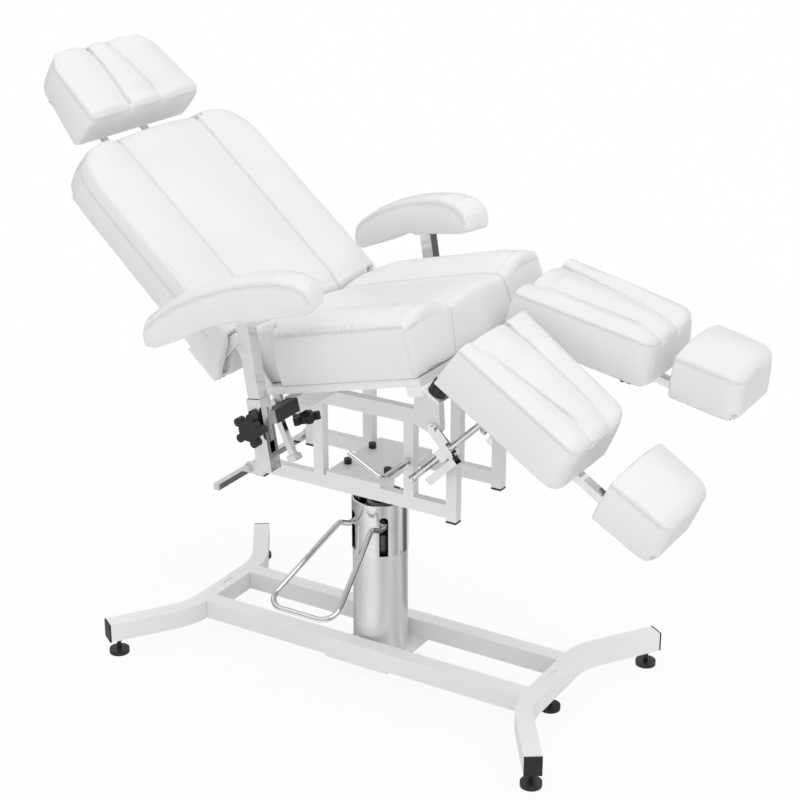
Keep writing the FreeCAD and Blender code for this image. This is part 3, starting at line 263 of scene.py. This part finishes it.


# The upholstery is white coated fabric over moulded foam: soft sheen, a fine pebbled
# grain, puckered where it is drawn into a seam and greyer there with painted shade;
# painted shade also darkens the valleys of the grain a little.
def coated_fabric(name, grey):
    hide = surface(name, Specular_IOR_Level=0.42, Coat_Roughness=0.35, Coat_IOR=1.4)
    drawn = hide.add("ShaderNodeAttribute", {"attribute_name": "seam"}, out="Fac")
    warp = hide.noise(170, 2.0)
    shifted = hide.add("ShaderNodeVectorMath", {"operation": "MULTIPLY_ADD"}, {
        0: hide.add("ShaderNodeCombineXYZ", sockets={0: warp, 1: warp, 2: warp}),
        1: (0.0012, 0.0012, 0.0012), 2: hide.place()})
    cells = hide.add("ShaderNodeTexVoronoi", {"feature": "DISTANCE_TO_EDGE"},
                     {"Vector": shifted, "Scale": 760.0}, out="Distance")
    pebble = cells.over(0.0, 0.16)
    fine = hide.noise(2600, 2.0)
    cloud = hide.noise(5, 3.0)
    pucker = hide.noise(95, 3.0) * drawn
    base = hide.blend(cloud.over(0.35, 0.7), grey, tuple(min(c + 0.03, 1) for c in grey))
    # painted shade: darker towards grey where the skin is drawn into a crease, and a little
    # darker in the valleys between the pebbles
    painted_shade = drawn * 0.5 + (1 - pebble) * 0.06
    hide.feed(hide.skin["Base Color"], hide.blend(painted_shade, base, (0.62, 0.62, 0.63)))
    hide.feed(hide.skin["Roughness"], 0.36 + cloud * 0.10 + drawn * 0.12)
    hide.feed(hide.skin["Coat Weight"], 0.22 - drawn * 0.1)
    grain = hide.relief(pebble * 0.7 + fine * 0.3, 0.00011, 0.55)
    hide.feed(hide.skin["Normal"], hide.relief(pucker, 0.0016, 0.8, over=grain))
    return hide.owner


hide = coated_fabric("white_coated_fabric", (0.84, 0.842, 0.845))


# The cushions: foam on a board under a sewn cover. Each starts as its foam block, is
# blown up like cloth, held flat on its board, and then sewn along channels and seams.
def own_axes(x, y, z, lean=0.0, toe=0.0):
    """A cushion's axes: along its length, across it, and out of its face"""
    place = Matrix.Translation((x, y, z)) @ Matrix.Rotation(math.radians(toe), 4, "Z")
    return place @ Matrix.Rotation(math.radians(lean), 4, "Y")


def applied(piece):
    """The piece's mesh with its modifiers worked in"""
    graph = bpy.context.evaluated_depsgraph_get()
    mesh = bpy.data.meshes.new_from_object(piece.evaluated_get(graph))
    piece.modifiers.clear()
    old, piece.data = piece.data, mesh
    bpy.data.meshes.remove(old)
    return piece


def points_of(mesh, kind="vertices", field="co"):
    found = np.empty(len(getattr(mesh, kind)) * 3, np.float32)
    getattr(mesh, kind).foreach_get(field, found)
    return found.reshape(-1, 3).astype(float)


def into(place, points):
    """World points in a cushion's own axes"""
    turn = np.array(place.inverted())
    return points @ turn[:3, :3].T + turn[:3, 3]


def out_of(place, points):
    turn = np.array(place)
    return points @ turn[:3, :3].T + turn[:3, 3]


CORNER_EASE, QUICK_SLACK, WELD_REACH = 0.0012, 0.0005, 1e-5
stitch_lines, welt_lines = {}, {}


class Cushion:
    """A padded piece in the making, with its own axes and the lines sewn into it"""

    def __init__(self, name, body, place, grid, slack, low, swell):
        self.name, self.body, self.place = name, body, place
        self.low, self.swell = low, swell
        self.lines = []
        mesh = nodes[name].data.copy()
        joined = bmesh.new()
        joined.from_mesh(mesh)
        bmesh.ops.remove_doubles(joined, verts=joined.verts, dist=WELD_REACH)
        joined.to_mesh(mesh)
        joined.free()
        self.piece = bpy.data.objects.new(name + "_cover", mesh)
        scene.collection.objects.link(self.piece)
        even = self.piece.modifiers.new("even", "REMESH")
        even.mode = "VOXEL"
        even.voxel_size = grid
        applied(self.piece)
        mesh = self.piece.data
        tight = slack
        start = points_of(mesh) - points_of(mesh, "vertex_normals", "vector") * tight
        self.write(start)

    def write(self, points):
        self.piece.data.vertices.foreach_set("co", points.astype(np.float32).ravel())
        self.piece.data.update()

    def pin(self, depth=0.007):
        """Hold the skin where it lies on the board"""
        held = into(self.place, points_of(self.piece.data))[:, 2] < self.low + depth
        group = self.piece.vertex_groups.new(name="board")
        group.add([int(i) for i in np.flatnonzero(held)], 1.0, "ADD")
        self.held = held

    def cover(self):
        """Ready the skin to be blown up"""
        self.pin()
        self.start = points_of(self.piece.data)
        cover = self.piece.modifiers.new("cover", "CLOTH")
        cloth = cover.settings
        cloth.quality = 4
        cloth.mass = 0.3
        cloth.tension_stiffness = cloth.compression_stiffness = 12
        cloth.bending_stiffness = 4.0
        cloth.use_pressure = True
        cloth.uniform_pressure_force = 4.0
        cloth.effector_weights.gravity = 0.0
        cloth.vertex_group_mass = "board"
        cover.collision_settings.use_collision = False
        cover.point_cache.frame_start = 1
        cover.point_cache.frame_end = 20

    def settle(self, graph):
        """Keep the blown shape, no point further from the foam than the swell"""
        blown = points_of(self.piece.evaluated_get(graph).data)
        moved = blown - self.start
        moved = self.eased(moved)
        length = np.linalg.norm(moved, axis=1, keepdims=True)
        moved *= np.minimum(1, self.swell / np.maximum(length, 1e-9))
        return self.start + moved

    def eased(self, moved, rounds=160):
        """The same swelling without its folds: each point takes its neighbours' mean"""
        mesh = self.piece.data
        ends = np.empty(2 * len(mesh.edges), np.int32)
        mesh.edges.foreach_get("vertices", ends)
        here = np.concatenate([ends[::2], ends[1::2]])
        there = np.concatenate([ends[1::2], ends[::2]])
        count = np.maximum(np.bincount(here, minlength=len(moved)), 1)
        for _ in range(rounds):
            moved = np.stack([np.bincount(here, moved[there, k], len(moved)) / count
                              for k in range(3)], axis=1)
            moved[self.held] = 0
        return moved

    def refine(self):
        """Split the skin once, and press it out again where a corner has sunk"""
        self.piece.vertex_groups.clear()
        smooth = self.piece.modifiers.new("fine", "SUBSURF")
        smooth.levels = smooth.render_levels = 1
        applied(self.piece)
        foam = nodes[self.name].data
        block = BVHTree.FromPolygons([v.co for v in foam.vertices],
                                     [tuple(face.vertices) for face in foam.polygons])
        points = points_of(self.piece.data)
        hits = [block.find_nearest(Vector(point)) for point in points]
        spots, facing = (np.array([hit[k] for hit in hits]) for k in (0, 1))
        sunk = ((points - spots) * facing).sum(axis=1) < -CORNER_EASE
        points[sunk] = (spots - facing * CORNER_EASE)[sunk]
        self.write(points)

    def shape(self, rule):
        """Move the skin out along its normals by a rule on its own axes"""
        points = points_of(self.piece.data)
        normals = points_of(self.piece.data, "vertex_normals", "vector")
        turn = np.array(self.place.inverted())[:3, :3]
        rise = rule(into(self.place, points), normals @ turn.T)
        self.write(points + normals * rise[:, None])

    def skin(self):
        mesh = self.piece.data
        corners = [tuple(face.vertices) for face in mesh.polygons]
        return BVHTree.FromPolygons([v.co for v in mesh.vertices], corners)

    def lay(self, tree, line, step=0.004):
        """A line given in the cushion's own axes, laid on its skin"""
        line = np.array(line, float)
        spans = np.linalg.norm(np.diff(line, axis=0), axis=1)
        run = np.concatenate([[0], np.cumsum(spans)])
        even = np.linspace(0, run[-1], max(3, int(run[-1] / step) + 1))
        spots = np.stack([np.interp(even, run, line[:, k]) for k in range(3)], axis=1)
        spots = out_of(self.place, spots)
        for _ in range(2):
            hits = [tree.find_nearest(Vector(spot)) for spot in spots]
            spots = np.array([hit[0] for hit in hits])
            spots[1:-1] = (spots[:-2] + 2 * spots[1:-1] + spots[2:]) / 4
        hits = [tree.find_nearest(Vector(spot)) for spot in spots]
        return np.array([hit[0] for hit in hits]), np.array([hit[1] for hit in hits])

    def sew(self, line, depth, width, shoulder=0.0, fade=0.0, stitch=None, welt=None):
        """Note a line to be sewn, with its stitch rows and its welt"""
        self.lines.append((line, depth, width, shoulder, fade, stitch, welt))

    def gaps(self, points, laid, reach=0.03):
        """How far points are from a laid line, and how far along it their foot lies"""
        near, share = np.full(len(points), 1e3), np.zeros(len(points))
        inside = ((points > laid.min(axis=0) - reach) & (points < laid.max(axis=0) + reach))
        close = np.flatnonzero(inside.all(axis=1))
        spots, best, part_way = points[close], near[close], share[close]
        for k in range(len(laid) - 1):
            start, along = laid[k], laid[k + 1] - laid[k]
            part = np.clip((spots - start) @ along / max(along @ along, 1e-12), 0, 1)
            gap = np.linalg.norm(spots - start - part[:, None] * along, axis=1)
            closer = gap < best
            best[closer] = gap[closer]
            part_way[closer] = (k + part[closer]) / (len(laid) - 1)
        near[close], share[close] = best, part_way
        return near, share

    def split_along(self, laid_lines, reach=0.011):
        """Split the skin finer along the lines, so that narrow creases can be drawn"""
        mesh = self.piece.data
        points = points_of(mesh)
        near = np.min([self.gaps(points, laid)[0] for laid in laid_lines], axis=0) < reach
        fine = bmesh.new()
        fine.from_mesh(mesh)
        edges = [edge for edge in fine.edges
                 if near[edge.verts[0].index] and near[edge.verts[1].index]]
        bmesh.ops.subdivide_edges(fine, edges=edges, cuts=1, use_grid_fill=True)
        fine.to_mesh(mesh)
        fine.free()

    def draw_in(self, laid, depth, width, shoulder, fade):
        """Pull the skin in along a line, with a soft shoulder at each side"""
        mesh = self.piece.data
        points = points_of(mesh)
        normals = points_of(mesh, "vertex_normals", "vector")
        near, share = self.gaps(points, laid)
        ends = np.ones(len(points))
        if fade:
            ends = np.clip((1 - share) / fade, 0, 1)
            ends = ends * ends * (3 - 2 * ends)
        pull = np.exp(-(near / width) ** 2)
        lift = np.exp(-((near - 2.6 * width) / (1.5 * width)) ** 2)
        self.write(points + normals * (depth * ends * (shoulder * lift - pull))[:, None])
        # the crease mask, kept as the seam attribute that the fabric paints as shade
        self.drawn = np.maximum(self.drawn, np.exp(-(near / (1.3 * width)) ** 2) * ends)

    def row(self, line, offset, lift):
        """A row beside a sewn line on the finished skin"""
        tree = self.skin()
        spots, facing = self.lay(tree, line)
        along = np.gradient(spots, axis=0)
        along /= np.maximum(np.linalg.norm(along, axis=1, keepdims=True), 1e-9)
        moved = spots + np.cross(facing, along) * offset
        hits = [tree.find_nearest(Vector(spot)) for spot in moved]
        spots, facing = (np.array([hit[k] for hit in hits]) for k in (0, 1))
        return spots + facing * lift

    def finish(self, fill):
        laid_lines = [self.lay(self.skin(), line[0])[0] for line in self.lines]
        self.split_along(laid_lines)
        self.drawn = np.zeros(len(self.piece.data.vertices))
        for laid, (_, depth, width, shoulder, fade, _, _) in zip(laid_lines, self.lines):
            self.draw_in(laid, depth, width, shoulder, fade)
        for line, _, _, _, _, stitch, welt in self.lines:
            if stitch:
                row = self.row(line, stitch, 0.0001)
                stitch_lines.setdefault(self.body, []).append(row)
            if welt:
                row = self.row(line, 0.0, welt)
                welt_lines.setdefault(self.body, []).append(row)
        mesh = self.piece.data
        # the seam attribute carries the crease mask, which the fabric paints as shade
        seam = mesh.attributes.new("seam", "FLOAT", "POINT")
        seam.data.foreach_set("value", self.drawn.astype(np.float32))
        mesh.shade_smooth()
        mesh.materials.clear()
        mesh.materials.append(hide)
        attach(self.piece, self.body)
        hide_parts(self.name)


def blow_up(cushions):
    """All covers are blown up in one run and keep what they reach"""
    for cushion in cushions:
        cushion.cover()
    for step in range(1, 21):
        scene.frame_set(step)
    graph = bpy.context.evaluated_depsgraph_get()
    reached = [cushion.settle(graph) for cushion in cushions]
    for cushion, points in zip(cushions, reached):
        cushion.piece.modifiers.clear()
        cushion.write(points)
    scene.frame_set(1)


SEAT_AXES = own_axes(0.258, 0, 0.822, lean=-14)
BACK_AXES = own_axes(-0.180, 0, 0.822, lean=41.4)
HEAD_AXES = own_axes(-0.5873, 0, 1.2174, lean=39.6)
SLACK, SWELL = 0.004, 0.008
seat = Cushion("seat_cushion", "frame", SEAT_AXES, grid=0.006, slack=SLACK, low=0.0,
               swell=SWELL)
back = Cushion("back_cushion", "back", BACK_AXES, grid=0.0062, slack=SLACK,
               low=-0.0931, swell=SWELL)
head = Cushion("head_cushion", "head", HEAD_AXES, grid=0.0048, slack=SLACK,
               low=-0.098, swell=SWELL)
SIDES = {"right": -1, "left": 1}
LEG_TILTS = {"right": 32.6, "left": 13.5}
FOOT_STARTS = {"right": 0.395, "left": 0.366}
pads, legs, feet = {}, {}, {}
for name, side in SIDES.items():
    pad_axes = own_axes(-0.0897, side * 0.359, 0, toe=-side * 14)
    pads[name] = Cushion(name + "_arm_pad", name + "_arm_top", pad_axes,
                         grid=0.004, slack=0.0025, low=-1.0, swell=0.005)
    leg_axes = own_axes(0.263, 0, 0.796, lean=LEG_TILTS[name])
    legs[name] = Cushion(name + "_leg_cushion", name + "_leg_rest", leg_axes,
                         grid=0.0046, slack=SLACK, low=0.042, swell=SWELL)
    feet[name] = Cushion(name + "_foot_cushion", name + "_foot", leg_axes,
                         grid=0.0042, slack=SLACK, low=0.048, swell=SWELL)
covers = [seat, back, head, *pads.values(), *legs.values(), *feet.values()]
blow_up(covers)
for cover in covers:
    cover.refine()


# The seat: one wide cushion with a raised bolster each side of two sewn channels that
# run over its rounded front edge, and a sewn corner where side and front panels meet.
SEAT_HALF, SEAT_HIGH, SEAT_CHANNEL = 0.29, 0.112, 0.114
CREASE = {"depth": 0.0055, "width": 0.0034, "shoulder": 0.12}
SEAM = {"depth": 0.0010, "width": 0.0021}


def bolsters(spots, facing):
    """Two rolls along the top, and a front panel that stands out between its corners"""
    roll = 0.015 * np.exp(-((np.abs(spots[:, 1]) - 0.208) / 0.060) ** 2)
    roll = roll * np.clip(facing[:, 2], 0, 1) * np.clip((spots[:, 0] + 0.40) / 0.08, 0, 1)
    flat = np.clip(1 - (spots[:, 1] / SEAT_HALF) ** 6, 0, 1)
    tall = np.clip(1 - ((spots[:, 2] - 0.052) / 0.056) ** 4, 0, 1)
    return roll + 0.005 * flat * tall * np.clip(facing[:, 0], 0, 1)


seat.shape(bolsters)
for side in (-1, 1):
    channel = side * SEAT_CHANNEL
    seat.sew([(-0.405, channel, SEAT_HIGH), (-0.04, channel, SEAT_HIGH),
              (-0.012, channel, SEAT_HIGH - 0.004), (0.008, channel, SEAT_HIGH - 0.03),
              (0.012, channel * 1.06, 0.05), (0.004, channel * 1.12, 0.004)], **CREASE)
    edge = side * SEAT_HALF
    seat.sew([(0, edge, 0.003), (0, edge, SEAT_HIGH - 0.014)], **SEAM, stitch=side * 0.004)
    seat.sew([(-0.006, edge, SEAT_HIGH - 0.006), (-0.315, edge, SEAT_HIGH - 0.006)],
             **SEAM, stitch=side * 0.004)
    seat.sew([(0, edge, SEAT_HIGH - 0.014), (0, side * 0.24, SEAT_HIGH - 0.010)], **SEAM)
seat.finish(0.7)


# The back: a long cushion with round shoulders, two channels from top to foot and a
# seam along each side, a third of the way back, where face and border panels meet.
BACK_LOW, BACK_TOP, BACK_HALF, BACK_CORNER = -0.010, -0.529, 0.298, 0.100


def rounded(low, top, half, corner, depth, steps=8):
    """A line up one side, round two corners and down the other side"""
    line = [(low, -half, depth)]
    for sign, start in ((-1, math.pi), (1, math.pi / 2)):
        for k in range(steps + 1):
            angle = start - k * math.pi / 2 / steps
            line.append((top + corner - corner * math.sin(angle),
                         sign * (half - corner) + corner * math.cos(angle), depth))
    return line + [(low, half, depth)]


for side in (-1, 1):
    channel = side * 0.138
    back.sew([(-0.525, channel, -0.010), (-0.48, channel, 0.006), (-0.02, channel, 0.006),
              (-0.008, channel, -0.02)], **CREASE)
back.sew(rounded(BACK_LOW - 0.03, BACK_TOP, BACK_HALF, BACK_CORNER, -0.030), **SEAM,
         stitch=0.004)
back.finish(0.7)


# The headrest: a thick block with round upper corners, two channels that draw together
# towards the top, and a seam just behind the edge all round its face.
for side in (-1, 1):
    head.sew([(-0.188, side * 0.035, -0.010), (-0.16, side * 0.038, 0.006),
              (-0.03, side * 0.053, 0.006), (-0.010, side * 0.056, 0.002)],
             **CREASE, fade=0.06)
head.sew(rounded(0, -0.192, 0.186, 0.066, -0.012), **SEAM, stitch=0.004)
head.sew([(0, 0.188, -0.008), (0, 0, -0.008), (0, -0.188, -0.008)], **SEAM)
head.finish(0.75)


# The arm pads: long low cushions that rise and thicken to the hand end, with a soft
# seam along both sides a little below the top panel.
PAD_TOPS = [(-0.200, 0.890), (-0.179, 0.910), (-0.133, 0.941), (-0.083, 0.965),
            (-0.029, 0.985), (0.022, 0.998), (0.074, 1.006), (0.118, 1.003),
            (0.144, 0.989), (0.152, 0.976)]
for pad in pads.values():
    for side in (-1, 1):
        pad.sew([(along, side * 0.045, top - 0.010) for along, top in PAD_TOPS],
                depth=0.0008, width=0.0034)
    pad.finish(0.65)


# The leg rests: thick tapered cushions with two channels that fade before the bowed
# front edge, and a seam round the top panel, corded along that edge.
LEG_REAR, LEG_FRONT, LEG_HIGH = 0.010, 0.316, 0.139
LEG_CHANNELS = ((-0.054, -0.035), (0.081, 0.048))


def flat_rear(spots, facing):
    """The rear end stays flat, so that it swings clear of the seat"""
    return -0.006 * np.clip(-facing[:, 0], 0, 1) * np.clip((0.05 - spots[:, 0]) / 0.03, 0, 1)


for name, side in SIDES.items():
    legs[name].shape(flat_rear)

    def across(v):
        return side * (0.150 + v)

    for rear, front in LEG_CHANNELS:
        legs[name].sew([(LEG_REAR + 0.002, across(rear), LEG_HIGH - 0.010),
                        (LEG_REAR + 0.014, across(rear), LEG_HIGH + 0.002),
                        (LEG_FRONT - 0.034, across(front), LEG_HIGH + 0.002)],
                       **CREASE, fade=0.14)
    drop = LEG_HIGH - 0.006
    for edge in (-1, 1):
        legs[name].sew([(LEG_REAR, across(edge * 0.140), drop),
                        (LEG_FRONT - 0.03, across(0.015 + edge * 0.128), drop)],
                       **SEAM, stitch=side * edge * 0.004)
    legs[name].sew([(LEG_FRONT - 0.024, across(-0.111), drop),
                    (LEG_FRONT - 0.010, across(-0.103), drop - 0.002),
                    (LEG_FRONT - 0.003, across(-0.085), drop - 0.005),
                    (LEG_FRONT + 0.002, across(0.015), drop - 0.006),
                    (LEG_FRONT - 0.003, across(0.115), drop - 0.005),
                    (LEG_FRONT - 0.010, across(0.134), drop - 0.002),
                    (LEG_FRONT - 0.024, across(0.142), drop)], **SEAM, welt=0.0004)
    legs[name].finish(0.75)


# The foot pads: short plump cushions on the slide bars, domed on top, with one corded
# seam round the top panel and no channels.
def dome(begin, middle):
    def rule(spots, facing):
        along = np.clip(1 - ((spots[:, 0] - begin - 0.071) / 0.075) ** 2, 0, 1)
        wide = np.clip(1 - ((spots[:, 1] - middle) / 0.125) ** 2, 0, 1)
        return 0.009 * along * wide * np.clip(facing[:, 2], 0, 1)

    return rule


for name, side in SIDES.items():
    begin = FOOT_STARTS[name]
    end, middle, drop = begin + 0.142, side * 0.160, 0.137 - 0.008
    feet[name].shape(dome(begin, middle))
    for edge in (-1, 1):
        feet[name].sew([(begin, middle + edge * 0.118, drop),
                        (end - 0.024, middle + edge * 0.109, drop)], **SEAM,
                       stitch=side * edge * 0.004)
    feet[name].sew([(end - 0.024, middle - 0.109, drop),
                    (end - 0.009, middle - 0.101, drop - 0.002),
                    (end - 0.002, middle - 0.080, drop - 0.005),
                    (end + 0.003, middle, drop - 0.006),
                    (end - 0.002, middle + 0.080, drop - 0.005),
                    (end - 0.009, middle + 0.101, drop - 0.002),
                    (end - 0.024, middle + 0.109, drop)], **SEAM, welt=0.0004)
    feet[name].finish(0.75)


# The sewing: rows of lock stitches beside the seams, and the covered cord let into the
# edges that show most. Both follow the lines that were laid on the cushions.
class Growth(Finish):
    """A geometry node group with named sizes, grown on rows of edges"""

    def __init__(self, name, sizes):
        self.tree = bpy.data.node_groups.new(name, "GeometryNodeTree")
        face = self.tree.interface
        face.new_socket("Geometry", in_out="INPUT", socket_type="NodeSocketGeometry")
        face.new_socket("Geometry", in_out="OUTPUT", socket_type="NodeSocketGeometry")
        made = {size: face.new_socket(size, in_out="INPUT", socket_type="NodeSocketFloat")
                for size in sizes}
        self.keys = {size: socket.identifier for size, socket in made.items()}
        given = self.tree.nodes.new("NodeGroupInput")
        self.given = {socket.name: Link(self, socket) for socket in given.outputs if socket.name}

    def end(self, geometry, finish):
        smooth = self.add("GeometryNodeSetShadeSmooth", sockets={"Geometry": geometry})
        dressed = self.add("GeometryNodeSetMaterial", sockets={
            "Geometry": smooth, "Material": finish})
        self.feed(self.tree.nodes.new("NodeGroupOutput").inputs[0], dressed)

    def grow(self, rows, name, body, slot_name, finish, **sizes):
        counts = np.cumsum([0] + [len(row) for row in rows])
        edges = [(k, k + 1) for first, last in zip(counts[:-1], counts[1:])
                 for k in range(first, last - 1)]
        mesh = bpy.data.meshes.new(name)
        mesh.from_pydata(np.concatenate(rows).tolist(), edges, [])
        piece = bpy.data.objects.new(name, mesh)
        scene.collection.objects.link(piece)
        worked = piece.modifiers.new(name, "NODES")
        worked.node_group = self.tree
        for size, value in sizes.items():
            worked[self.keys[size]] = value
        applied(piece)
        piece.data.materials.clear()
        piece.data.materials.append(finish)
        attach(piece, body)


def thread():
    yarn = surface("white_thread", Specular_IOR_Level=0.3)
    twist = yarn.noise(1900, 2.0)
    tone = yarn.blend(twist.over(0.3, 0.7), (0.70, 0.70, 0.70), (0.84, 0.84, 0.84))
    yarn.feed(yarn.skin["Base Color"], tone)
    yarn.feed(yarn.skin["Roughness"], 0.55 + twist * 0.2)
    return yarn.owner


yarn = thread()
stitches = Growth("stitch_row", ("Pitch", "Length", "Width"))
spots = stitches.add("GeometryNodeCurveToPoints", {"mode": "LENGTH"}, {
    "Curve": stitches.add("GeometryNodeMeshToCurve",
                          sockets={"Mesh": stitches.given["Geometry"]}),
    "Length": stitches.given["Pitch"]})
bead = stitches.add("GeometryNodeMeshUVSphere", sockets={"Segments": 6, "Rings": 4})
half_wide = stitches.given["Width"] * 0.5
shape = stitches.add("ShaderNodeCombineXYZ", sockets={
    0: half_wide, 1: half_wide, 2: stitches.given["Length"] * 0.5})
lock = stitches.add("GeometryNodeTransform", sockets={"Geometry": bead, "Scale": shape})
rows = stitches.add("GeometryNodeInstanceOnPoints", sockets={
    "Points": spots, "Instance": lock,
    "Rotation": Link(stitches, spots.socket.node.outputs["Rotation"])})
stitches.end(stitches.add("GeometryNodeRealizeInstances", sockets={"Geometry": rows}), yarn)

cord = Growth("welt_cord", ("Radius",))
ring = cord.add("GeometryNodeCurvePrimitiveCircle", sockets={
    "Resolution": 8, "Radius": cord.given["Radius"]})
cord.end(cord.add("GeometryNodeCurveToMesh", sockets={
    "Curve": cord.add("GeometryNodeMeshToCurve", sockets={"Mesh": cord.given["Geometry"]}),
    "Profile Curve": ring, "Fill Caps": True}), hide)

for body, rows in stitch_lines.items():
    stitches.grow(rows, body + "_stitches", body, "white_upholstery", yarn,
                  Pitch=0.0048, Length=0.0034, Width=0.0006)
for body, rows in welt_lines.items():
    cord.grow(rows, body + "_welts", body, "white_upholstery", hide, Radius=0.0013)


# The floor and the studio: a plain pale floor that runs to the horizon, near white to the
# camera, that glows for reflections only in a painted ring of dark and light bands round
# the chair; a wide soft lamp overhead to the right, and a white room that lights all sides
# evenly.
floor_mesh = bpy.data.meshes.new("floor")
floor_mesh.from_pydata([(x, y, 0) for x, y in ((-30, -30), (30, -30), (30, 30), (-30, 30))],
                       [], [(0, 1, 2, 3)])
floor = bpy.data.objects.new("floor", floor_mesh)
scene.collection.objects.link(floor)
paving = surface("pale_floor", Base_Color=(0.9, 0.9, 0.9), Roughness=0.9,
                 Specular_IOR_Level=0.0)
around = paving.add("ShaderNodeTexGradient", {"gradient_type": "RADIAL"},
                    {"Vector": paving.place()}, out="Fac")
# painted reflection: seen only by glossy rays, the floor glows in dark and light bands by
# direction round the chair
painted_reflection_bands = paving.add("ShaderNodeValToRGB", {"stops": [
    (0.0, (0.30, 0.30, 0.31)), (0.12, (0.62, 0.62, 0.63)), (0.19, (0.95, 0.95, 0.95)),
    (0.27, (1, 1, 1)), (0.36, (0.45, 0.45, 0.46)), (0.44, (0.75, 0.75, 0.76)),
    (0.52, (0.40, 0.40, 0.41)), (0.58, (0.85, 0.85, 0.86)), (0.63, (0.10, 0.10, 0.11)),
    (0.68, (0.10, 0.10, 0.11)), (0.74, (0.9, 0.9, 0.91)), (0.9, (0.25, 0.25, 0.26)),
    (1.0, (0.30, 0.30, 0.31))]}, {"Fac": around})
rays = paving.tree.nodes.new("ShaderNodeLightPath")
seen = Link(paving, rays.outputs["Is Camera Ray"]).math(
    "MAXIMUM", Link(paving, rays.outputs["Is Camera Ray"]),
    Link(paving, rays.outputs["Is Transmission Ray"]))
mirrored = Link(paving, rays.outputs["Is Glossy Ray"])
glow = paving.add("ShaderNodeEmission", sockets={
    "Color": paving.blend(mirrored, (1, 1, 1), painted_reflection_bands), "Strength": 1.0})
ground = Link(paving, paving.tree.nodes["Principled BSDF"].outputs[0])
both = paving.add("ShaderNodeMixShader", sockets={
    0: seen * 0.9 + mirrored * 0.95, 1: ground, 2: glow})
paving.feed(paving.tree.nodes["Material Output"].inputs["Surface"], both)
floor_mesh.materials.append(paving.owner)

scene.world = bpy.data.worlds.new("white_room")
room = Finish(scene.world)
room_rays = room.tree.nodes.new("ShaderNodeLightPath")
height = room.add("ShaderNodeSeparateXYZ", sockets={
    "Vector": room.add("ShaderNodeTexCoord", out="Generated")}, out="Z")
tall = room.add("ShaderNodeValToRGB", {"stops": [
    (0.0, (0.30, 0.30, 0.31)), (0.12, (0.06, 0.06, 0.07)), (0.3, (0.5, 0.5, 0.51)),
    (0.6, (1, 1, 1))]}, {"Fac": height.over(-0.1, 1.0)})
soft = room.blend(height.over(-0.2, 0.9), (0.68, 0.68, 0.69), (0.89, 0.89, 0.89))
mirrored = room.blend(Link(room, room_rays.outputs["Is Glossy Ray"]), soft, tall)
seen = room.blend(Link(room, room_rays.outputs["Is Camera Ray"]), mirrored, (1, 1, 1))
room.feed(room.tree.nodes["Background"].inputs["Color"], seen)

lamp = bpy.data.lights.new("overhead", "SUN")
lamp.energy = 0.70
lamp.angle = math.radians(50)
lamp_holder = bpy.data.objects.new("overhead", lamp)
lamp_holder.rotation_mode = "QUATERNION"
lamp_holder.rotation_quaternion = Vector((0.45, -0.25, 0.86)).to_track_quat("Z", "Y")
scene.collection.objects.link(lamp_holder)


# The camera stands ahead of the chair's near corner, a little above the back, and
# looks down at it from the photograph's place.
camera = bpy.data.objects.new("camera", bpy.data.cameras.new("camera"))
camera.data.lens = 80.5
camera.data.sensor_width = 36
camera.location = (1.88915, -3.06501, 2.04284)
camera.rotation_mode = "QUATERNION"
look = Vector((-0.47891, 0.79858, -0.36458))
camera.rotation_quaternion = look.to_track_quat("-Z", "Y")
camera.data.clip_end = 100
scene.collection.objects.link(camera)
scene.camera = camera
scene.view_settings.view_transform = "Standard"

bpy.context.view_layer.update()
